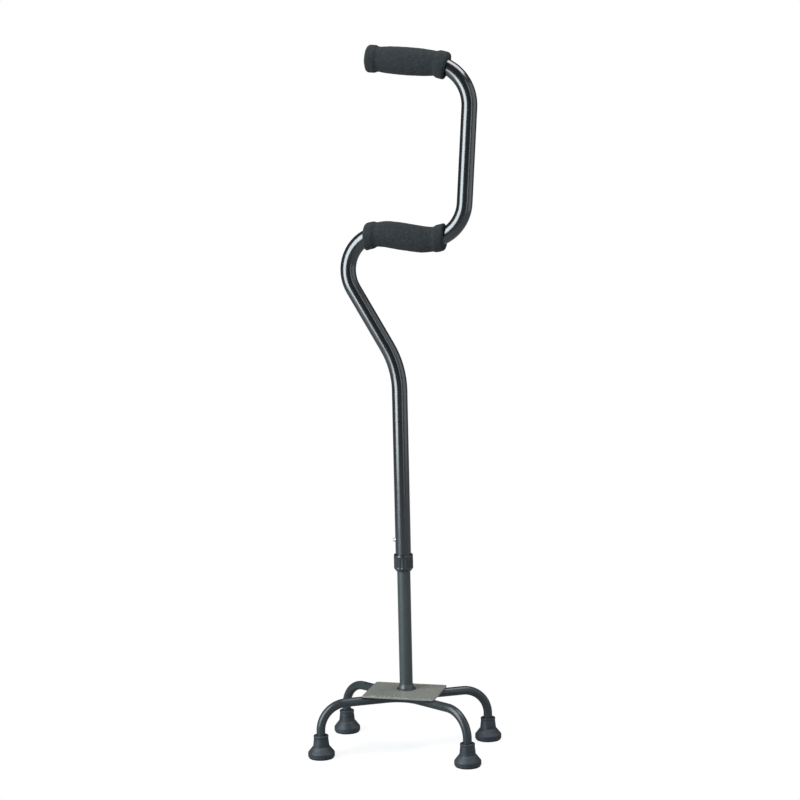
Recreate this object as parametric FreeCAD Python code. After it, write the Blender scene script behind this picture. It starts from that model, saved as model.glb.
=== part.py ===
import FreeCAD, Part
import math
import os

# Two-handled quad cane, millimetres, +Z up.
# The origin is on the floor at the centre of the four feet. +X runs along the hand grips,
# +Y points to the side of the base that is nearer the stem.

# ---------------------------------------------------------------- driving dimensions
# Handle tube: straight runs and bends, in order from its foot to its free end
HANDLE_TUBE_WALL = 1.2375
TELESCOPE_CLEARANCE = 0.35
STEM_RUN = 250.0
LEAN_RUN = 94.5
LOWER_HANDLE_RUN = 40.6
MAST_RUN = 132.3
UPPER_HANDLE_RUN = 87.0
STEM_BEND_RADIUS = 125.0
ELBOW_BEND_RADIUS = 53.0
LOWER_HANDLE_BEND_RADIUS = 56.0
UPPER_HANDLE_BEND_RADIUS = 59.0
OUTWARD_LEAN = 30.2
LOWER_HANDLE_FALL = 12.2
MAST_LEAN = 3.95
UPPER_HANDLE_RISE = 4.85
TUBE_MOUTH_ROUND = 0.4

# Height adjustment
HOLE_PITCH = 25.4
HOLE_COUNT = 7
FOOT_TO_FIRST_HOLE = 33.6
BUTTON_RADIUS = 2.8
BUTTON_HOLE_CLEARANCE = 0.3
BUTTON_PROUD = 3.8
BUTTON_DOME_ROUND = 2.3
BUTTON_FLANGE_RADIUS = 4.4
BUTTON_FLANGE_THICKNESS = 0.9

# Lower tube
LOWER_TUBE_DIAMETER = 19.05
LOWER_TUBE_WALL = 1.24
LOWER_TUBE_LENGTH = 255.2
TOP_TO_BUTTON = 35.4
BUSH_PLUG_LENGTH = 10.0
BUSH_FLANGE_THICKNESS = 3.0
BUSH_WALL = 2.4
BUSH_SLIDE_CLEARANCE = 0.12

# Leaf spring behind the button
SPRING_THICKNESS = 0.5
SPRING_WIDTH = 6.0
SPRING_ABOVE_BUTTON = 26.0
SPRING_BELOW_BUTTON = 12.0
SPRING_APEX_RADIUS = 1.6
SPRING_GAP = 0.05

# Locking collar, split sleeve and clamp ring, with places measured from the handle tube's foot
COLLAR_WALL = 1.45
COLLAR_ABOVE_FOOT = 13.0
COLLAR_CORNER_WALL = 0.9
COLLAR_BOTTOM_WALL = 1.0
COLLAR_TAPER_HEIGHT = 4.2
COLLAR_RIM_WALL = 0.45
COLLAR_RIM_HEIGHT = 2.0
COLLAR_FLUTES = 18
COLLAR_FLUTE_RADIUS = 1.1
COLLAR_FLUTE_DEPTH = 0.65
COLLAR_FLUTE_MARGIN = 1.2
SLEEVE_WALL = 1.1
SLEEVE_ABOVE_FOOT = 10.5
SLEEVE_BELOW_FOOT = 4.15
SLEEVE_THREAD_PITCH = 2.0
SLEEVE_THREAD_DEPTH = 0.35
SLEEVE_SLOTS = 2
SLEEVE_FIRST_SLOT_TURN = 45.0
SLEEVE_SLOT_WIDTH = 1.2
SLEEVE_SLOT_HEIGHT = 3.2
CLAMP_RING_HEIGHT = 3.1
CLAMP_RING_SPLIT = 1.6
CLAMP_RING_CHAMFER = 0.9
THREAD_CLEARANCE = 0.2
CLAMP_CLEARANCE = 0.25
CLAMP_AXIAL_GAP = 0.3

# Foam grips
GRIP_LENGTH = 117.4
GRIP_WALL = 8.4
GRIP_END_ROUND = 4.0
GRIP_RING_INSET = 6.0
GRIP_END_THICKNESS = 5.0
PLUG_HEAD_THICKNESS = 2.0
PLUG_STUB_LENGTH = 14.0
PLUG_STUB_WALL = 2.0

# Base
STEM_OFFSET = 10.0
TIP_SPACING_LENGTHWISE = 215.4
TIP_SPACING_CROSSWISE = 132.4
LEG_TUBE_DIAMETER = 12.7
LEG_TUBE_WALL = 1.6
LEG_CENTRE_HEIGHT = 77.0
LEG_GAP = 5.2
LEG_BOW_RADIUS = 44.6
LEG_KNEE_RADIUS = 38.0
PLATE_LENGTH = 106.8
PLATE_WIDTH = 80.2
PLATE_THICKNESS = 2.5
PLATE_CORNER_RADIUS = 3.5
PLATE_EDGE_ROUND = 0.5
WELD_LEG = 2.6
WELD_LENGTH = 26.0
WELD_SINK = 0.4
WELD_CORNER_SHARE = 0.3
WELD_TOE_SHARE = 0.5
WELD_HEEL_SHARE = 0.75
FERRULE_FOOT_WALL = 2.4
FERRULE_NECK_WALL = 0.45
FERRULE_RING_HEIGHT = 2.6
FERRULE_HEIGHT = 7.8
FERRULE_WELD_LEG = 2.2
SPIGOT_HEIGHT = 32.0
SPIGOT_CHAMFER = 1.5
TENON_RADIUS = 4.5
TENON_RECESS = 0.4

# Rubber tips
TIP_HEIGHT = 33.0
TIP_FLOOR = 6.0
TIP_MOUTH_WALL = 4.1
TIP_NECK_WALL = 5.85
TIP_FLANGE_OVERHANG = 7.05
TIP_FLANGE_HEIGHT = 8.0
TIP_CONE_HEIGHT = 8.5
TIP_FOOT_CHAMFER = 1.5
TIP_FOOT_CHAMFER_HEIGHT = 2.8
TIP_FOOT_ROUND = 0.7
TIP_SHOULDER_ROUND = 1.8
TIP_WAIST_ROUND = 1.5
TIP_MOUTH_ROUND = 0.6
TIP_GROOVES = 3
TIP_GROOVE_WIDTH = 1.6
TIP_GROOVE_DEPTH = 1.2
TIP_GROOVE_PITCH = 4.6
WASHER_THICKNESS = 1.5
WASHER_HOLE_RADIUS = 2.5

# ---------------------------------------------------------------- places worked out from them
UP = FreeCAD.Vector(0, 0, 1)
OUT_LEFT = FreeCAD.Vector(-1, 0, 0)

PLATE_UNDERSIDE = LEG_CENTRE_HEIGHT + LEG_TUBE_DIAMETER / 2
PLATE_TOP = PLATE_UNDERSIDE + PLATE_THICKNESS
LOWER_TUBE_TOP = PLATE_TOP + LOWER_TUBE_LENGTH
BUTTON_HEIGHT = LOWER_TUBE_TOP - TOP_TO_BUTTON
HANDLE_FOOT = BUTTON_HEIGHT - FOOT_TO_FIRST_HOLE

LOWER_RADIUS = LOWER_TUBE_DIAMETER / 2
LOWER_BORE_RADIUS = LOWER_RADIUS - LOWER_TUBE_WALL
HANDLE_BORE_RADIUS = LOWER_RADIUS + TELESCOPE_CLEARANCE
HANDLE_RADIUS = HANDLE_BORE_RADIUS + HANDLE_TUBE_WALL
GRIP_RADIUS = HANDLE_RADIUS + GRIP_WALL
LEG_RADIUS = LEG_TUBE_DIAMETER / 2

SLEEVE_RADIUS = HANDLE_RADIUS + SLEEVE_WALL
COLLAR_BORE_RADIUS = SLEEVE_RADIUS + THREAD_CLEARANCE
COLLAR_RADIUS = COLLAR_BORE_RADIUS + COLLAR_WALL
CLAMP_BORE_RADIUS = LOWER_RADIUS + CLAMP_CLEARANCE
COLLAR_FOOT_RADIUS = CLAMP_BORE_RADIUS + COLLAR_BOTTOM_WALL
COLLAR_TAPER_SLOPE = COLLAR_TAPER_HEIGHT / (COLLAR_RADIUS - COLLAR_FOOT_RADIUS)
COLLAR_FLOOR = COLLAR_TAPER_SLOPE * (COLLAR_BORE_RADIUS + COLLAR_CORNER_WALL - COLLAR_FOOT_RADIUS)
CLAMP_RING_TOP = HANDLE_FOOT - SLEEVE_BELOW_FOOT - CLAMP_AXIAL_GAP
CLAMP_RING_BOTTOM = CLAMP_RING_TOP - CLAMP_RING_HEIGHT

FERRULE_FOOT_RADIUS = LOWER_RADIUS + FERRULE_FOOT_WALL
TIP_NECK_RADIUS = LEG_RADIUS + TIP_NECK_WALL
TIP_FLANGE_RADIUS = TIP_NECK_RADIUS + TIP_FLANGE_OVERHANG


# ---------------------------------------------------------------- shared shapes
def on_stem(x, y, z):
    """A point given from the stem's axis at the floor."""
    return FreeCAD.Vector(x, STEM_OFFSET + y, z)


def heading(degrees):
    """Direction in the handle's upright plane, from straight up towards +X."""
    angle = math.radians(degrees)
    return FreeCAD.Vector(math.sin(angle), 0, math.cos(angle))


def corner_points(start, first_heading, runs, bends):
    """Corners of a tube bent in one plane, from its straight runs and its (radius, turn) bends."""
    corners = [start]
    point = start
    direction = first_heading
    before = 0.0
    for run, (radius, turn) in zip(runs, bends + [(0.0, 0.0)]):
        after = radius * math.tan(math.radians(abs(turn)) / 2)
        point = point + heading(direction) * (before + run + after)
        corners.append(point)
        direction += turn
        before = after
    return corners


def rounded_path(corners, radii):
    """Straight edges through the corners with a tangent arc of its radius at each inner one."""
    edges = []
    start = corners[0]
    for before, corner, after, radius in zip(corners, corners[1:], corners[2:], radii):
        back = (before - corner).normalize()
        ahead = (after - corner).normalize()
        half = back.getAngle(ahead) / 2
        reach = radius / math.tan(half)
        middle = (back + ahead).normalize()
        first = corner + back * reach
        last = corner + ahead * reach
        crown = corner + middle * (radius / math.sin(half) - radius)
        edges.append(Part.LineSegment(start, first).toShape())
        edges.append(Part.Arc(first, crown, last).toShape())
        start = last
    edges.append(Part.LineSegment(start, corners[-1]).toShape())
    return edges


def stretch(edges, start, end):
    """The part of a path that lies between two distances along it."""
    kept = []
    passed = 0.0
    for edge in edges:
        low = max(start - passed, 0.0)
        high = min(end - passed, edge.Length)
        if high - low > 0.01:
            first = edge.getParameterByLength(low)
            last = edge.getParameterByLength(high)
            kept.append(edge.Curve.toShape(first, last))
        passed += edge.Length
    return kept


def path_length(edges):
    return sum(edge.Length for edge in edges)


def swept_rod(edges, radius):
    """A solid round rod along a path."""
    first = edges[0]
    start = first.valueAt(first.FirstParameter)
    ahead = first.tangentAt(first.FirstParameter)
    profile = Part.Wire(Part.makeCircle(radius, start, ahead))
    return Part.Wire(edges).makePipeShell([profile], True, True)


def swept_tube(edges, radius, bore_radius):
    return swept_rod(edges, radius).cut(swept_rod(edges, bore_radius))


def turned(outline, centre):
    """A solid of revolution about the upright axis through centre, from (radius, height) points."""
    points = [FreeCAD.Vector(radius, 0, height) for radius, height in outline]
    face = Part.Face(Part.makePolygon(points + points[:1]))
    solid = face.revolve(FreeCAD.Vector(0, 0, 0), UP, 360)
    return solid.translate(centre)


def disc(radius, low, high, centre):
    """An upright cylinder between two heights."""
    base = FreeCAD.Vector(centre.x, centre.y, low)
    return Part.makeCylinder(radius, high - low, base, UP)


def ring(radius, bore_radius, low, high, centre):
    return disc(radius, low, high, centre).cut(disc(bore_radius, low, high, centre))


def circles_at(shape, radius, height):
    """The round edges of one radius at one height, for a fillet."""
    return [
        edge
        for edge in shape.Edges
        if isinstance(edge.Curve, Part.Circle)
        and abs(edge.Curve.Radius - radius) < 1e-4
        and abs(edge.Curve.Center.z - height) < 1e-4
    ]


# ---------------------------------------------------------------- handle tube and what is on it
def handle_path():
    """Centreline of the handle tube, from its foot to its free end."""
    start = on_stem(0, 0, HANDLE_FOOT)
    runs = [STEM_RUN, LEAN_RUN, LOWER_HANDLE_RUN, MAST_RUN, UPPER_HANDLE_RUN]
    handle_heading = 90 + LOWER_HANDLE_FALL
    end_heading = UPPER_HANDLE_RISE - 90
    bends = [
        (STEM_BEND_RADIUS, -OUTWARD_LEAN),
        (ELBOW_BEND_RADIUS, handle_heading + OUTWARD_LEAN),
        (LOWER_HANDLE_BEND_RADIUS, MAST_LEAN - handle_heading),
        (UPPER_HANDLE_BEND_RADIUS, end_heading - MAST_LEAN),
    ]
    corners = corner_points(start, 0.0, runs, bends)
    return rounded_path(corners, [radius for radius, _ in bends])


def button_hole(radius, height):
    """A drill through the -X wall only, from the stem's axis outwards."""
    return Part.makeCylinder(radius, 2 * HANDLE_RADIUS, on_stem(0, 0, height), OUT_LEFT)


def handle_tube(path):
    tube = swept_tube(path, HANDLE_RADIUS, HANDLE_BORE_RADIUS)
    tube = tube.makeFillet(TUBE_MOUTH_ROUND, circles_at(tube, HANDLE_RADIUS, HANDLE_FOOT))
    for step in range(HOLE_COUNT):
        height = BUTTON_HEIGHT + step * HOLE_PITCH
        tube = tube.cut(button_hole(BUTTON_RADIUS + BUTTON_HOLE_CLEARANCE, height))
    return tube


def end_direction(path):
    last = path[-1]
    return last.tangentAt(last.LastParameter)


def handle_end_plug(path):
    """Plastic plug in the free end: a hollow stub inside the tube and a head over its edge."""
    mouth = path[-1].valueAt(path[-1].LastParameter)
    outward = end_direction(path)
    inner_end = mouth - outward * PLUG_STUB_LENGTH
    head = Part.makeCylinder(HANDLE_RADIUS, PLUG_HEAD_THICKNESS, mouth, outward)
    stub = Part.makeCylinder(HANDLE_BORE_RADIUS, PLUG_STUB_LENGTH, inner_end, outward)
    hollow_radius = HANDLE_BORE_RADIUS - PLUG_STUB_WALL
    hollow = Part.makeCylinder(hollow_radius, PLUG_STUB_LENGTH, inner_end, outward)
    return head.fuse(stub.cut(hollow)).removeSplitter()


def path_point(path, distance):
    """The point at a distance along a path."""
    for edge in path:
        if distance <= edge.Length:
            return edge.valueAt(edge.getParameterByLength(distance))
        distance -= edge.Length
    return path[-1].valueAt(path[-1].LastParameter)


def foam_barrel(near, far):
    """A straight foam cylinder whose end rings are centred on two points of the tube's path."""
    along = (far - near).normalize()
    start = near - along * GRIP_RING_INSET
    barrel = Part.makeCylinder(GRIP_RADIUS, GRIP_LENGTH, start, along)
    rims = [edge for edge in barrel.Edges if isinstance(edge.Curve, Part.Circle)]
    return barrel.makeFillet(GRIP_END_ROUND, rims)


def upper_grip(path):
    """Foam over the top handle, with a closed end over the plug."""
    total = path_length(path)
    on_tube = GRIP_LENGTH - GRIP_END_THICKNESS
    mouth = path_point(path, total)
    foam = foam_barrel(path_point(path, total - on_tube + GRIP_RING_INSET), mouth)
    core = swept_rod(stretch(path, total - on_tube - 2 * HANDLE_RADIUS, total), HANDLE_RADIUS)
    plug_head = Part.makeCylinder(HANDLE_RADIUS, PLUG_HEAD_THICKNESS, mouth, end_direction(path))
    return foam.cut(core).cut(plug_head)


def lower_grip(path):
    """Foam over the lower handle, centred on its straight run."""
    middle = path_length(path[:4]) + LOWER_HANDLE_RUN / 2
    reach = GRIP_LENGTH / 2 - GRIP_RING_INSET
    foam = foam_barrel(path_point(path, middle - reach), path_point(path, middle + reach))
    return foam.cut(swept_rod(stretch(path, middle - GRIP_LENGTH, middle + GRIP_LENGTH), HANDLE_RADIUS))


# ---------------------------------------------------------------- locking collar
def collet_sleeve():
    """Threaded sleeve on the handle tube's foot, split below it so that its jaws can close."""
    centre = on_stem(0, 0, 0)
    bottom = HANDLE_FOOT - SLEEVE_BELOW_FOOT
    top = HANDLE_FOOT + SLEEVE_ABOVE_FOOT
    sleeve = ring(SLEEVE_RADIUS, HANDLE_RADIUS, HANDLE_FOOT, top, centre)
    sleeve = sleeve.fuse(ring(SLEEVE_RADIUS, CLAMP_BORE_RADIUS, bottom, HANDLE_FOOT, centre))
    sleeve = sleeve.removeSplitter()
    threads = int((SLEEVE_ABOVE_FOOT - SLEEVE_THREAD_PITCH) / SLEEVE_THREAD_PITCH)
    for turn in range(threads):
        middle = HANDLE_FOOT + (turn + 0.5) * SLEEVE_THREAD_PITCH
        half = SLEEVE_THREAD_PITCH / 4
        root = SLEEVE_RADIUS - SLEEVE_THREAD_DEPTH
        outline = [(root, middle), (SLEEVE_RADIUS + half, middle - 2 * half)]
        outline.append((SLEEVE_RADIUS + half, middle + 2 * half))
        sleeve = sleeve.cut(turned(outline, centre))
    for index in range(SLEEVE_SLOTS):
        slot = Part.makeBox(SLEEVE_RADIUS * 4, SLEEVE_SLOT_WIDTH, SLEEVE_SLOT_HEIGHT)
        corner = FreeCAD.Vector(-SLEEVE_RADIUS * 2, -SLEEVE_SLOT_WIDTH / 2, bottom)
        slot.translate(corner)
        slot.rotate(FreeCAD.Vector(0, 0, 0), UP, SLEEVE_FIRST_SLOT_TURN + 180 * index / SLEEVE_SLOTS)
        sleeve = sleeve.cut(slot.translate(centre))
    return sleeve


def clamp_ring():
    """Split ring between the collar's floor and the sleeve's jaws."""
    centre = on_stem(0, 0, 0)
    outer = COLLAR_BORE_RADIUS - CLAMP_CLEARANCE
    outline = [
        (CLAMP_BORE_RADIUS, CLAMP_RING_BOTTOM),
        (outer - CLAMP_RING_CHAMFER, CLAMP_RING_BOTTOM),
        (outer, CLAMP_RING_BOTTOM + CLAMP_RING_CHAMFER),
        (outer, CLAMP_RING_TOP),
        (CLAMP_BORE_RADIUS, CLAMP_RING_TOP),
    ]
    gap = Part.makeBox(outer * 2, CLAMP_RING_SPLIT, CLAMP_RING_HEIGHT)
    gap.translate(centre + FreeCAD.Vector(0, -CLAMP_RING_SPLIT / 2, CLAMP_RING_BOTTOM))
    return turned(outline, centre).cut(gap)


def locking_collar():
    """Fluted nut with a bevelled rim, a tapered foot and a floor that carries the clamp ring.

    The floor is thick enough to leave the corner wall between its bore and its tapered foot.
    """
    centre = on_stem(0, 0, 0)
    floor_top = CLAMP_RING_BOTTOM - CLAMP_AXIAL_GAP
    bottom = floor_top - COLLAR_FLOOR
    top = HANDLE_FOOT + COLLAR_ABOVE_FOOT
    outline = [
        (CLAMP_BORE_RADIUS, bottom),
        (COLLAR_FOOT_RADIUS, bottom),
        (COLLAR_RADIUS, bottom + COLLAR_TAPER_HEIGHT),
        (COLLAR_RADIUS, top - COLLAR_RIM_HEIGHT),
        (COLLAR_BORE_RADIUS + COLLAR_RIM_WALL, top),
        (COLLAR_BORE_RADIUS, top),
        (COLLAR_BORE_RADIUS, floor_top),
        (CLAMP_BORE_RADIUS, floor_top),
    ]
    collar = turned(outline, centre)
    low = bottom + COLLAR_TAPER_HEIGHT + COLLAR_FLUTE_MARGIN - COLLAR_FLUTE_DEPTH
    high = top - COLLAR_RIM_HEIGHT - COLLAR_FLUTE_MARGIN + COLLAR_FLUTE_DEPTH
    reach = COLLAR_RADIUS - COLLAR_FLUTE_DEPTH + COLLAR_FLUTE_RADIUS
    for index in range(COLLAR_FLUTES):
        angle = 2 * math.pi * index / COLLAR_FLUTES
        x = reach * math.cos(angle)
        y = reach * math.sin(angle)
        flute = disc(COLLAR_FLUTE_RADIUS, low, high, on_stem(x, y, 0))
        collar = collar.cut(flute)
    return collar


# ---------------------------------------------------------------- lower tube and the button in it
def lower_tube():
    centre = on_stem(0, 0, 0)
    tube = ring(LOWER_RADIUS, LOWER_BORE_RADIUS, PLATE_TOP, LOWER_TUBE_TOP, centre)
    return tube.cut(button_hole(BUTTON_RADIUS + BUTTON_HOLE_CLEARANCE, BUTTON_HEIGHT))


def inner_guide_bush():
    """Plastic bush pressed into the top of the lower tube, whose flange guides it in the handle tube."""
    flange = HANDLE_BORE_RADIUS - BUSH_SLIDE_CLEARANCE
    bore = LOWER_BORE_RADIUS - BUSH_WALL
    outline = [
        (bore, LOWER_TUBE_TOP - BUSH_PLUG_LENGTH),
        (LOWER_BORE_RADIUS, LOWER_TUBE_TOP - BUSH_PLUG_LENGTH),
        (LOWER_BORE_RADIUS, LOWER_TUBE_TOP),
        (flange, LOWER_TUBE_TOP),
        (flange, LOWER_TUBE_TOP + BUSH_FLANGE_THICKNESS),
        (bore, LOWER_TUBE_TOP + BUSH_FLANGE_THICKNESS),
    ]
    return turned(outline, on_stem(0, 0, 0))


def button_flange_face():
    """Distance of the flange's outer face from the axis, just inside the lower tube's round wall."""
    across = math.sqrt(LOWER_BORE_RADIUS**2 - BUTTON_FLANGE_RADIUS**2)
    return across - BUTTON_HOLE_CLEARANCE


def snap_button():
    face = button_flange_face()
    back = face - BUTTON_FLANGE_THICKNESS
    tip = HANDLE_RADIUS + BUTTON_PROUD
    pin = Part.makeCylinder(BUTTON_RADIUS, tip - back, on_stem(-back, 0, BUTTON_HEIGHT), OUT_LEFT)
    rim = [
        edge
        for edge in pin.Edges
        if isinstance(edge.Curve, Part.Circle) and abs(edge.Curve.Center.x + tip) < 1e-4
    ]
    pin = pin.makeFillet(BUTTON_DOME_ROUND, rim)
    flange_start = on_stem(-back, 0, BUTTON_HEIGHT)
    flange = Part.makeCylinder(
        BUTTON_FLANGE_RADIUS, BUTTON_FLANGE_THICKNESS, flange_start, OUT_LEFT
    )
    return pin.fuse(flange).removeSplitter()


def button_spring():
    """V-shaped leaf inside the lower tube: one leg behind the button, the other on the far wall."""
    near = -(button_flange_face() - BUTTON_FLANGE_THICKNESS - SPRING_GAP - SPRING_THICKNESS / 2)
    wall = math.sqrt(LOWER_BORE_RADIUS**2 - (SPRING_WIDTH / 2) ** 2)
    far = wall - SPRING_THICKNESS
    low = BUTTON_HEIGHT - SPRING_BELOW_BUTTON
    high = BUTTON_HEIGHT + SPRING_ABOVE_BUTTON
    corners = [on_stem(near, 0, low), on_stem(near, 0, high), on_stem(far, 0, low)]
    path = rounded_path(corners, [SPRING_APEX_RADIUS])
    half_width = SPRING_WIDTH / 2
    half_thick = SPRING_THICKNESS / 2
    section = [
        on_stem(near - half_thick, -half_width, low),
        on_stem(near + half_thick, -half_width, low),
        on_stem(near + half_thick, half_width, low),
        on_stem(near - half_thick, half_width, low),
    ]
    profile = Part.makePolygon(section + section[:1])
    return Part.Wire(path).makePipeShell([profile], True, True)


# ---------------------------------------------------------------- base
def base_plate():
    """Plate with rounded corners and edges, and the plug-welded hole for the spigot's tenon."""
    corner = FreeCAD.Vector(-PLATE_LENGTH / 2, -PLATE_WIDTH / 2, PLATE_UNDERSIDE)
    plate = Part.makeBox(PLATE_LENGTH, PLATE_WIDTH, PLATE_THICKNESS, corner)
    uprights = [edge for edge in plate.Edges if abs(edge.tangentAt(0).z) > 0.9]
    plate = plate.makeFillet(PLATE_CORNER_RADIUS, uprights)
    rims = [edge for edge in plate.Edges if edge.BoundBox.ZLength < 1e-4]
    plate = plate.makeFillet(PLATE_EDGE_ROUND, rims)
    hole = disc(TENON_RADIUS, PLATE_UNDERSIDE, PLATE_TOP, on_stem(0, 0, 0))
    return plate.cut(hole)


def stem_ferrule():
    outline = [
        (LOWER_RADIUS, PLATE_TOP),
        (FERRULE_FOOT_RADIUS, PLATE_TOP),
        (FERRULE_FOOT_RADIUS, PLATE_TOP + FERRULE_RING_HEIGHT),
        (LOWER_RADIUS + FERRULE_NECK_WALL, PLATE_TOP + FERRULE_HEIGHT),
        (LOWER_RADIUS, PLATE_TOP + FERRULE_HEIGHT),
    ]
    return turned(outline, on_stem(0, 0, 0))


def stem_weld():
    outline = [
        (FERRULE_FOOT_RADIUS, PLATE_TOP),
        (FERRULE_FOOT_RADIUS + FERRULE_WELD_LEG, PLATE_TOP),
        (FERRULE_FOOT_RADIUS, PLATE_TOP + FERRULE_WELD_LEG),
    ]
    return turned(outline, on_stem(0, 0, 0))


def stem_spigot():
    """Solid plug inside the lower tube's foot, with a tenon down through the plate."""
    top = PLATE_TOP + SPIGOT_HEIGHT
    outline = [
        (0, PLATE_UNDERSIDE + TENON_RECESS),
        (TENON_RADIUS, PLATE_UNDERSIDE + TENON_RECESS),
        (TENON_RADIUS, PLATE_TOP),
        (LOWER_BORE_RADIUS, PLATE_TOP),
        (LOWER_BORE_RADIUS, top - SPIGOT_CHAMFER),
        (LOWER_BORE_RADIUS - SPIGOT_CHAMFER, top),
        (0, top),
    ]
    return turned(outline, on_stem(0, 0, 0))


def leg_splay(half_length, half_width):
    """Angle of a leg's arm in plan that leaves the gap between the two tubes at their middles."""
    inward = half_width - LEG_BOW_RADIUS - (LEG_RADIUS + LEG_GAP / 2)
    return math.atan2(inward, half_length) + math.asin(LEG_BOW_RADIUS / math.hypot(half_length, inward))


def leg_path(side, low):
    """One leg tube's centreline; side is -1 at the front and 1 at the rear."""
    half_length = TIP_SPACING_LENGTHWISE / 2
    half_width = TIP_SPACING_CROSSWISE / 2
    foot_y = side * half_width
    apex_y = foot_y - side * half_length * math.tan(leg_splay(half_length, half_width))
    corners = [
        FreeCAD.Vector(-half_length, foot_y, low),
        FreeCAD.Vector(-half_length, foot_y, LEG_CENTRE_HEIGHT),
        FreeCAD.Vector(0, apex_y, LEG_CENTRE_HEIGHT),
        FreeCAD.Vector(half_length, foot_y, LEG_CENTRE_HEIGHT),
        FreeCAD.Vector(half_length, foot_y, low),
    ]
    return rounded_path(corners, [LEG_KNEE_RADIUS, LEG_BOW_RADIUS, LEG_KNEE_RADIUS])


def leg_tube(side):
    path = leg_path(side, TIP_FLOOR + WASHER_THICKNESS)
    return swept_tube(path, LEG_RADIUS, LEG_RADIUS - LEG_TUBE_WALL)


def leg_welds():
    """Fillet beads along both flanks of each leg tube, on the straight parts under the plate."""
    beads = []
    for side in (-1, 1):
        path = leg_path(side, TIP_FLOOR + WASHER_THICKNESS)
        tube = swept_rod(path, LEG_RADIUS)
        for arm in (2, 4):
            run = path[arm]
            inner_parameter = run.LastParameter if arm == 2 else run.FirstParameter
            inner = run.valueAt(inner_parameter)
            outward = run.tangentAt(run.FirstParameter) * (-1 if arm == 2 else 1)
            across = outward.cross(UP)
            for flank in (-1, 1):
                beads.append(weld_bead(inner, outward, across * flank).cut(tube))
    return Part.makeCompound(beads)


def weld_bead(start, along, across):
    """A bead filling the corner between a leg tube's flank and the plate's underside.

    Its three corners lie across the run at shares of the leg tube's radius.
    """
    ceiling = PLATE_UNDERSIDE
    reach = LEG_RADIUS * WELD_TOE_SHARE + WELD_LEG
    drop = FreeCAD.Vector(0, 0, -WELD_LEG - WELD_SINK)
    corner = FreeCAD.Vector(start.x, start.y, ceiling) + across * (LEG_RADIUS * WELD_CORNER_SHARE)
    toe = FreeCAD.Vector(start.x, start.y, ceiling) + across * reach
    heel = FreeCAD.Vector(start.x, start.y, ceiling) + across * (LEG_RADIUS * WELD_HEEL_SHARE) + drop
    face = Part.Face(Part.makePolygon([corner, toe, heel, corner]))
    return face.extrude(along * WELD_LENGTH)


# ---------------------------------------------------------------- rubber tips
def tip_place(side_x, side_y):
    return FreeCAD.Vector(
        side_x * TIP_SPACING_LENGTHWISE / 2, side_y * TIP_SPACING_CROSSWISE / 2, 0
    )


def rubber_tip(place):
    """Flanged rubber ferrule with a blind bore for the leg tube and ring grooves underneath."""
    flange = TIP_FLANGE_RADIUS
    neck = TIP_NECK_RADIUS
    mouth = LEG_RADIUS + TIP_MOUTH_WALL
    cone_top = TIP_FLANGE_HEIGHT + TIP_CONE_HEIGHT
    foot = flange - TIP_FOOT_CHAMFER
    outline = [
        (0, 0),
        (foot, 0),
        (flange, TIP_FOOT_CHAMFER_HEIGHT),
        (flange, TIP_FLANGE_HEIGHT),
        (neck, cone_top),
        (mouth, TIP_HEIGHT),
        (LEG_RADIUS, TIP_HEIGHT),
        (LEG_RADIUS, TIP_FLOOR),
        (0, TIP_FLOOR),
    ]
    tip = turned(outline, FreeCAD.Vector(0, 0, 0))
    tip = tip.makeFillet(TIP_FOOT_ROUND, circles_at(tip, foot, 0))
    tip = tip.makeFillet(TIP_SHOULDER_ROUND, circles_at(tip, flange, TIP_FLANGE_HEIGHT))
    tip = tip.makeFillet(TIP_WAIST_ROUND, circles_at(tip, neck, cone_top))
    tip = tip.makeFillet(TIP_MOUTH_ROUND, circles_at(tip, mouth, TIP_HEIGHT))
    origin = FreeCAD.Vector(0, 0, 0)
    for index in range(TIP_GROOVES):
        inner = TIP_GROOVE_PITCH * (index + 1) - TIP_GROOVE_WIDTH / 2
        outer = inner + TIP_GROOVE_WIDTH
        tip = tip.cut(ring(outer, inner, 0, TIP_GROOVE_DEPTH, origin))
    return tip.translate(place)


def tip_washer(place):
    return ring(LEG_RADIUS, WASHER_HOLE_RADIUS, TIP_FLOOR, TIP_FLOOR + WASHER_THICKNESS, place)


# ---------------------------------------------------------------- the whole cane
def nodes():
    path = handle_path()
    shapes = {
        "handle_tube": handle_tube(path),
        "handle_end_plug": handle_end_plug(path),
        "upper_grip": upper_grip(path),
        "lower_grip": lower_grip(path),
        "collet_sleeve": collet_sleeve(),
        "clamp_ring": clamp_ring(),
        "locking_collar": locking_collar(),
        "lower_tube": lower_tube(),
        "inner_guide_bush": inner_guide_bush(),
        "snap_button": snap_button(),
        "button_spring": button_spring(),
        "base_plate": base_plate(),
        "stem_ferrule": stem_ferrule(),
        "stem_weld": stem_weld(),
        "stem_spigot": stem_spigot(),
        "front_leg_tube": leg_tube(-1),
        "rear_leg_tube": leg_tube(1),
        "leg_welds": leg_welds(),
    }
    for front_rear, side_y in (("front", -1), ("rear", 1)):
        for left_right, side_x in (("left", -1), ("right", 1)):
            place = tip_place(side_x, side_y)
            shapes[f"tip_{front_rear}_{left_right}"] = rubber_tip(place)
            shapes[f"tip_washer_{front_rear}_{left_right}"] = tip_washer(place)
    return shapes


os.makedirs("parts", exist_ok=True)
for name, shape in nodes().items():
    shape.exportStep(os.path.join("parts", name + ".step"))
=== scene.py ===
"""Looks of a two-handled quad cane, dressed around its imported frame. Every length is in metres."""

import logging
import math
import random
from abc import ABC, abstractmethod
from collections.abc import Iterable, Sequence
from dataclasses import dataclass, field
from enum import Enum

import bmesh
import bpy
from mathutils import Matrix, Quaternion, Vector, noise


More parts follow.
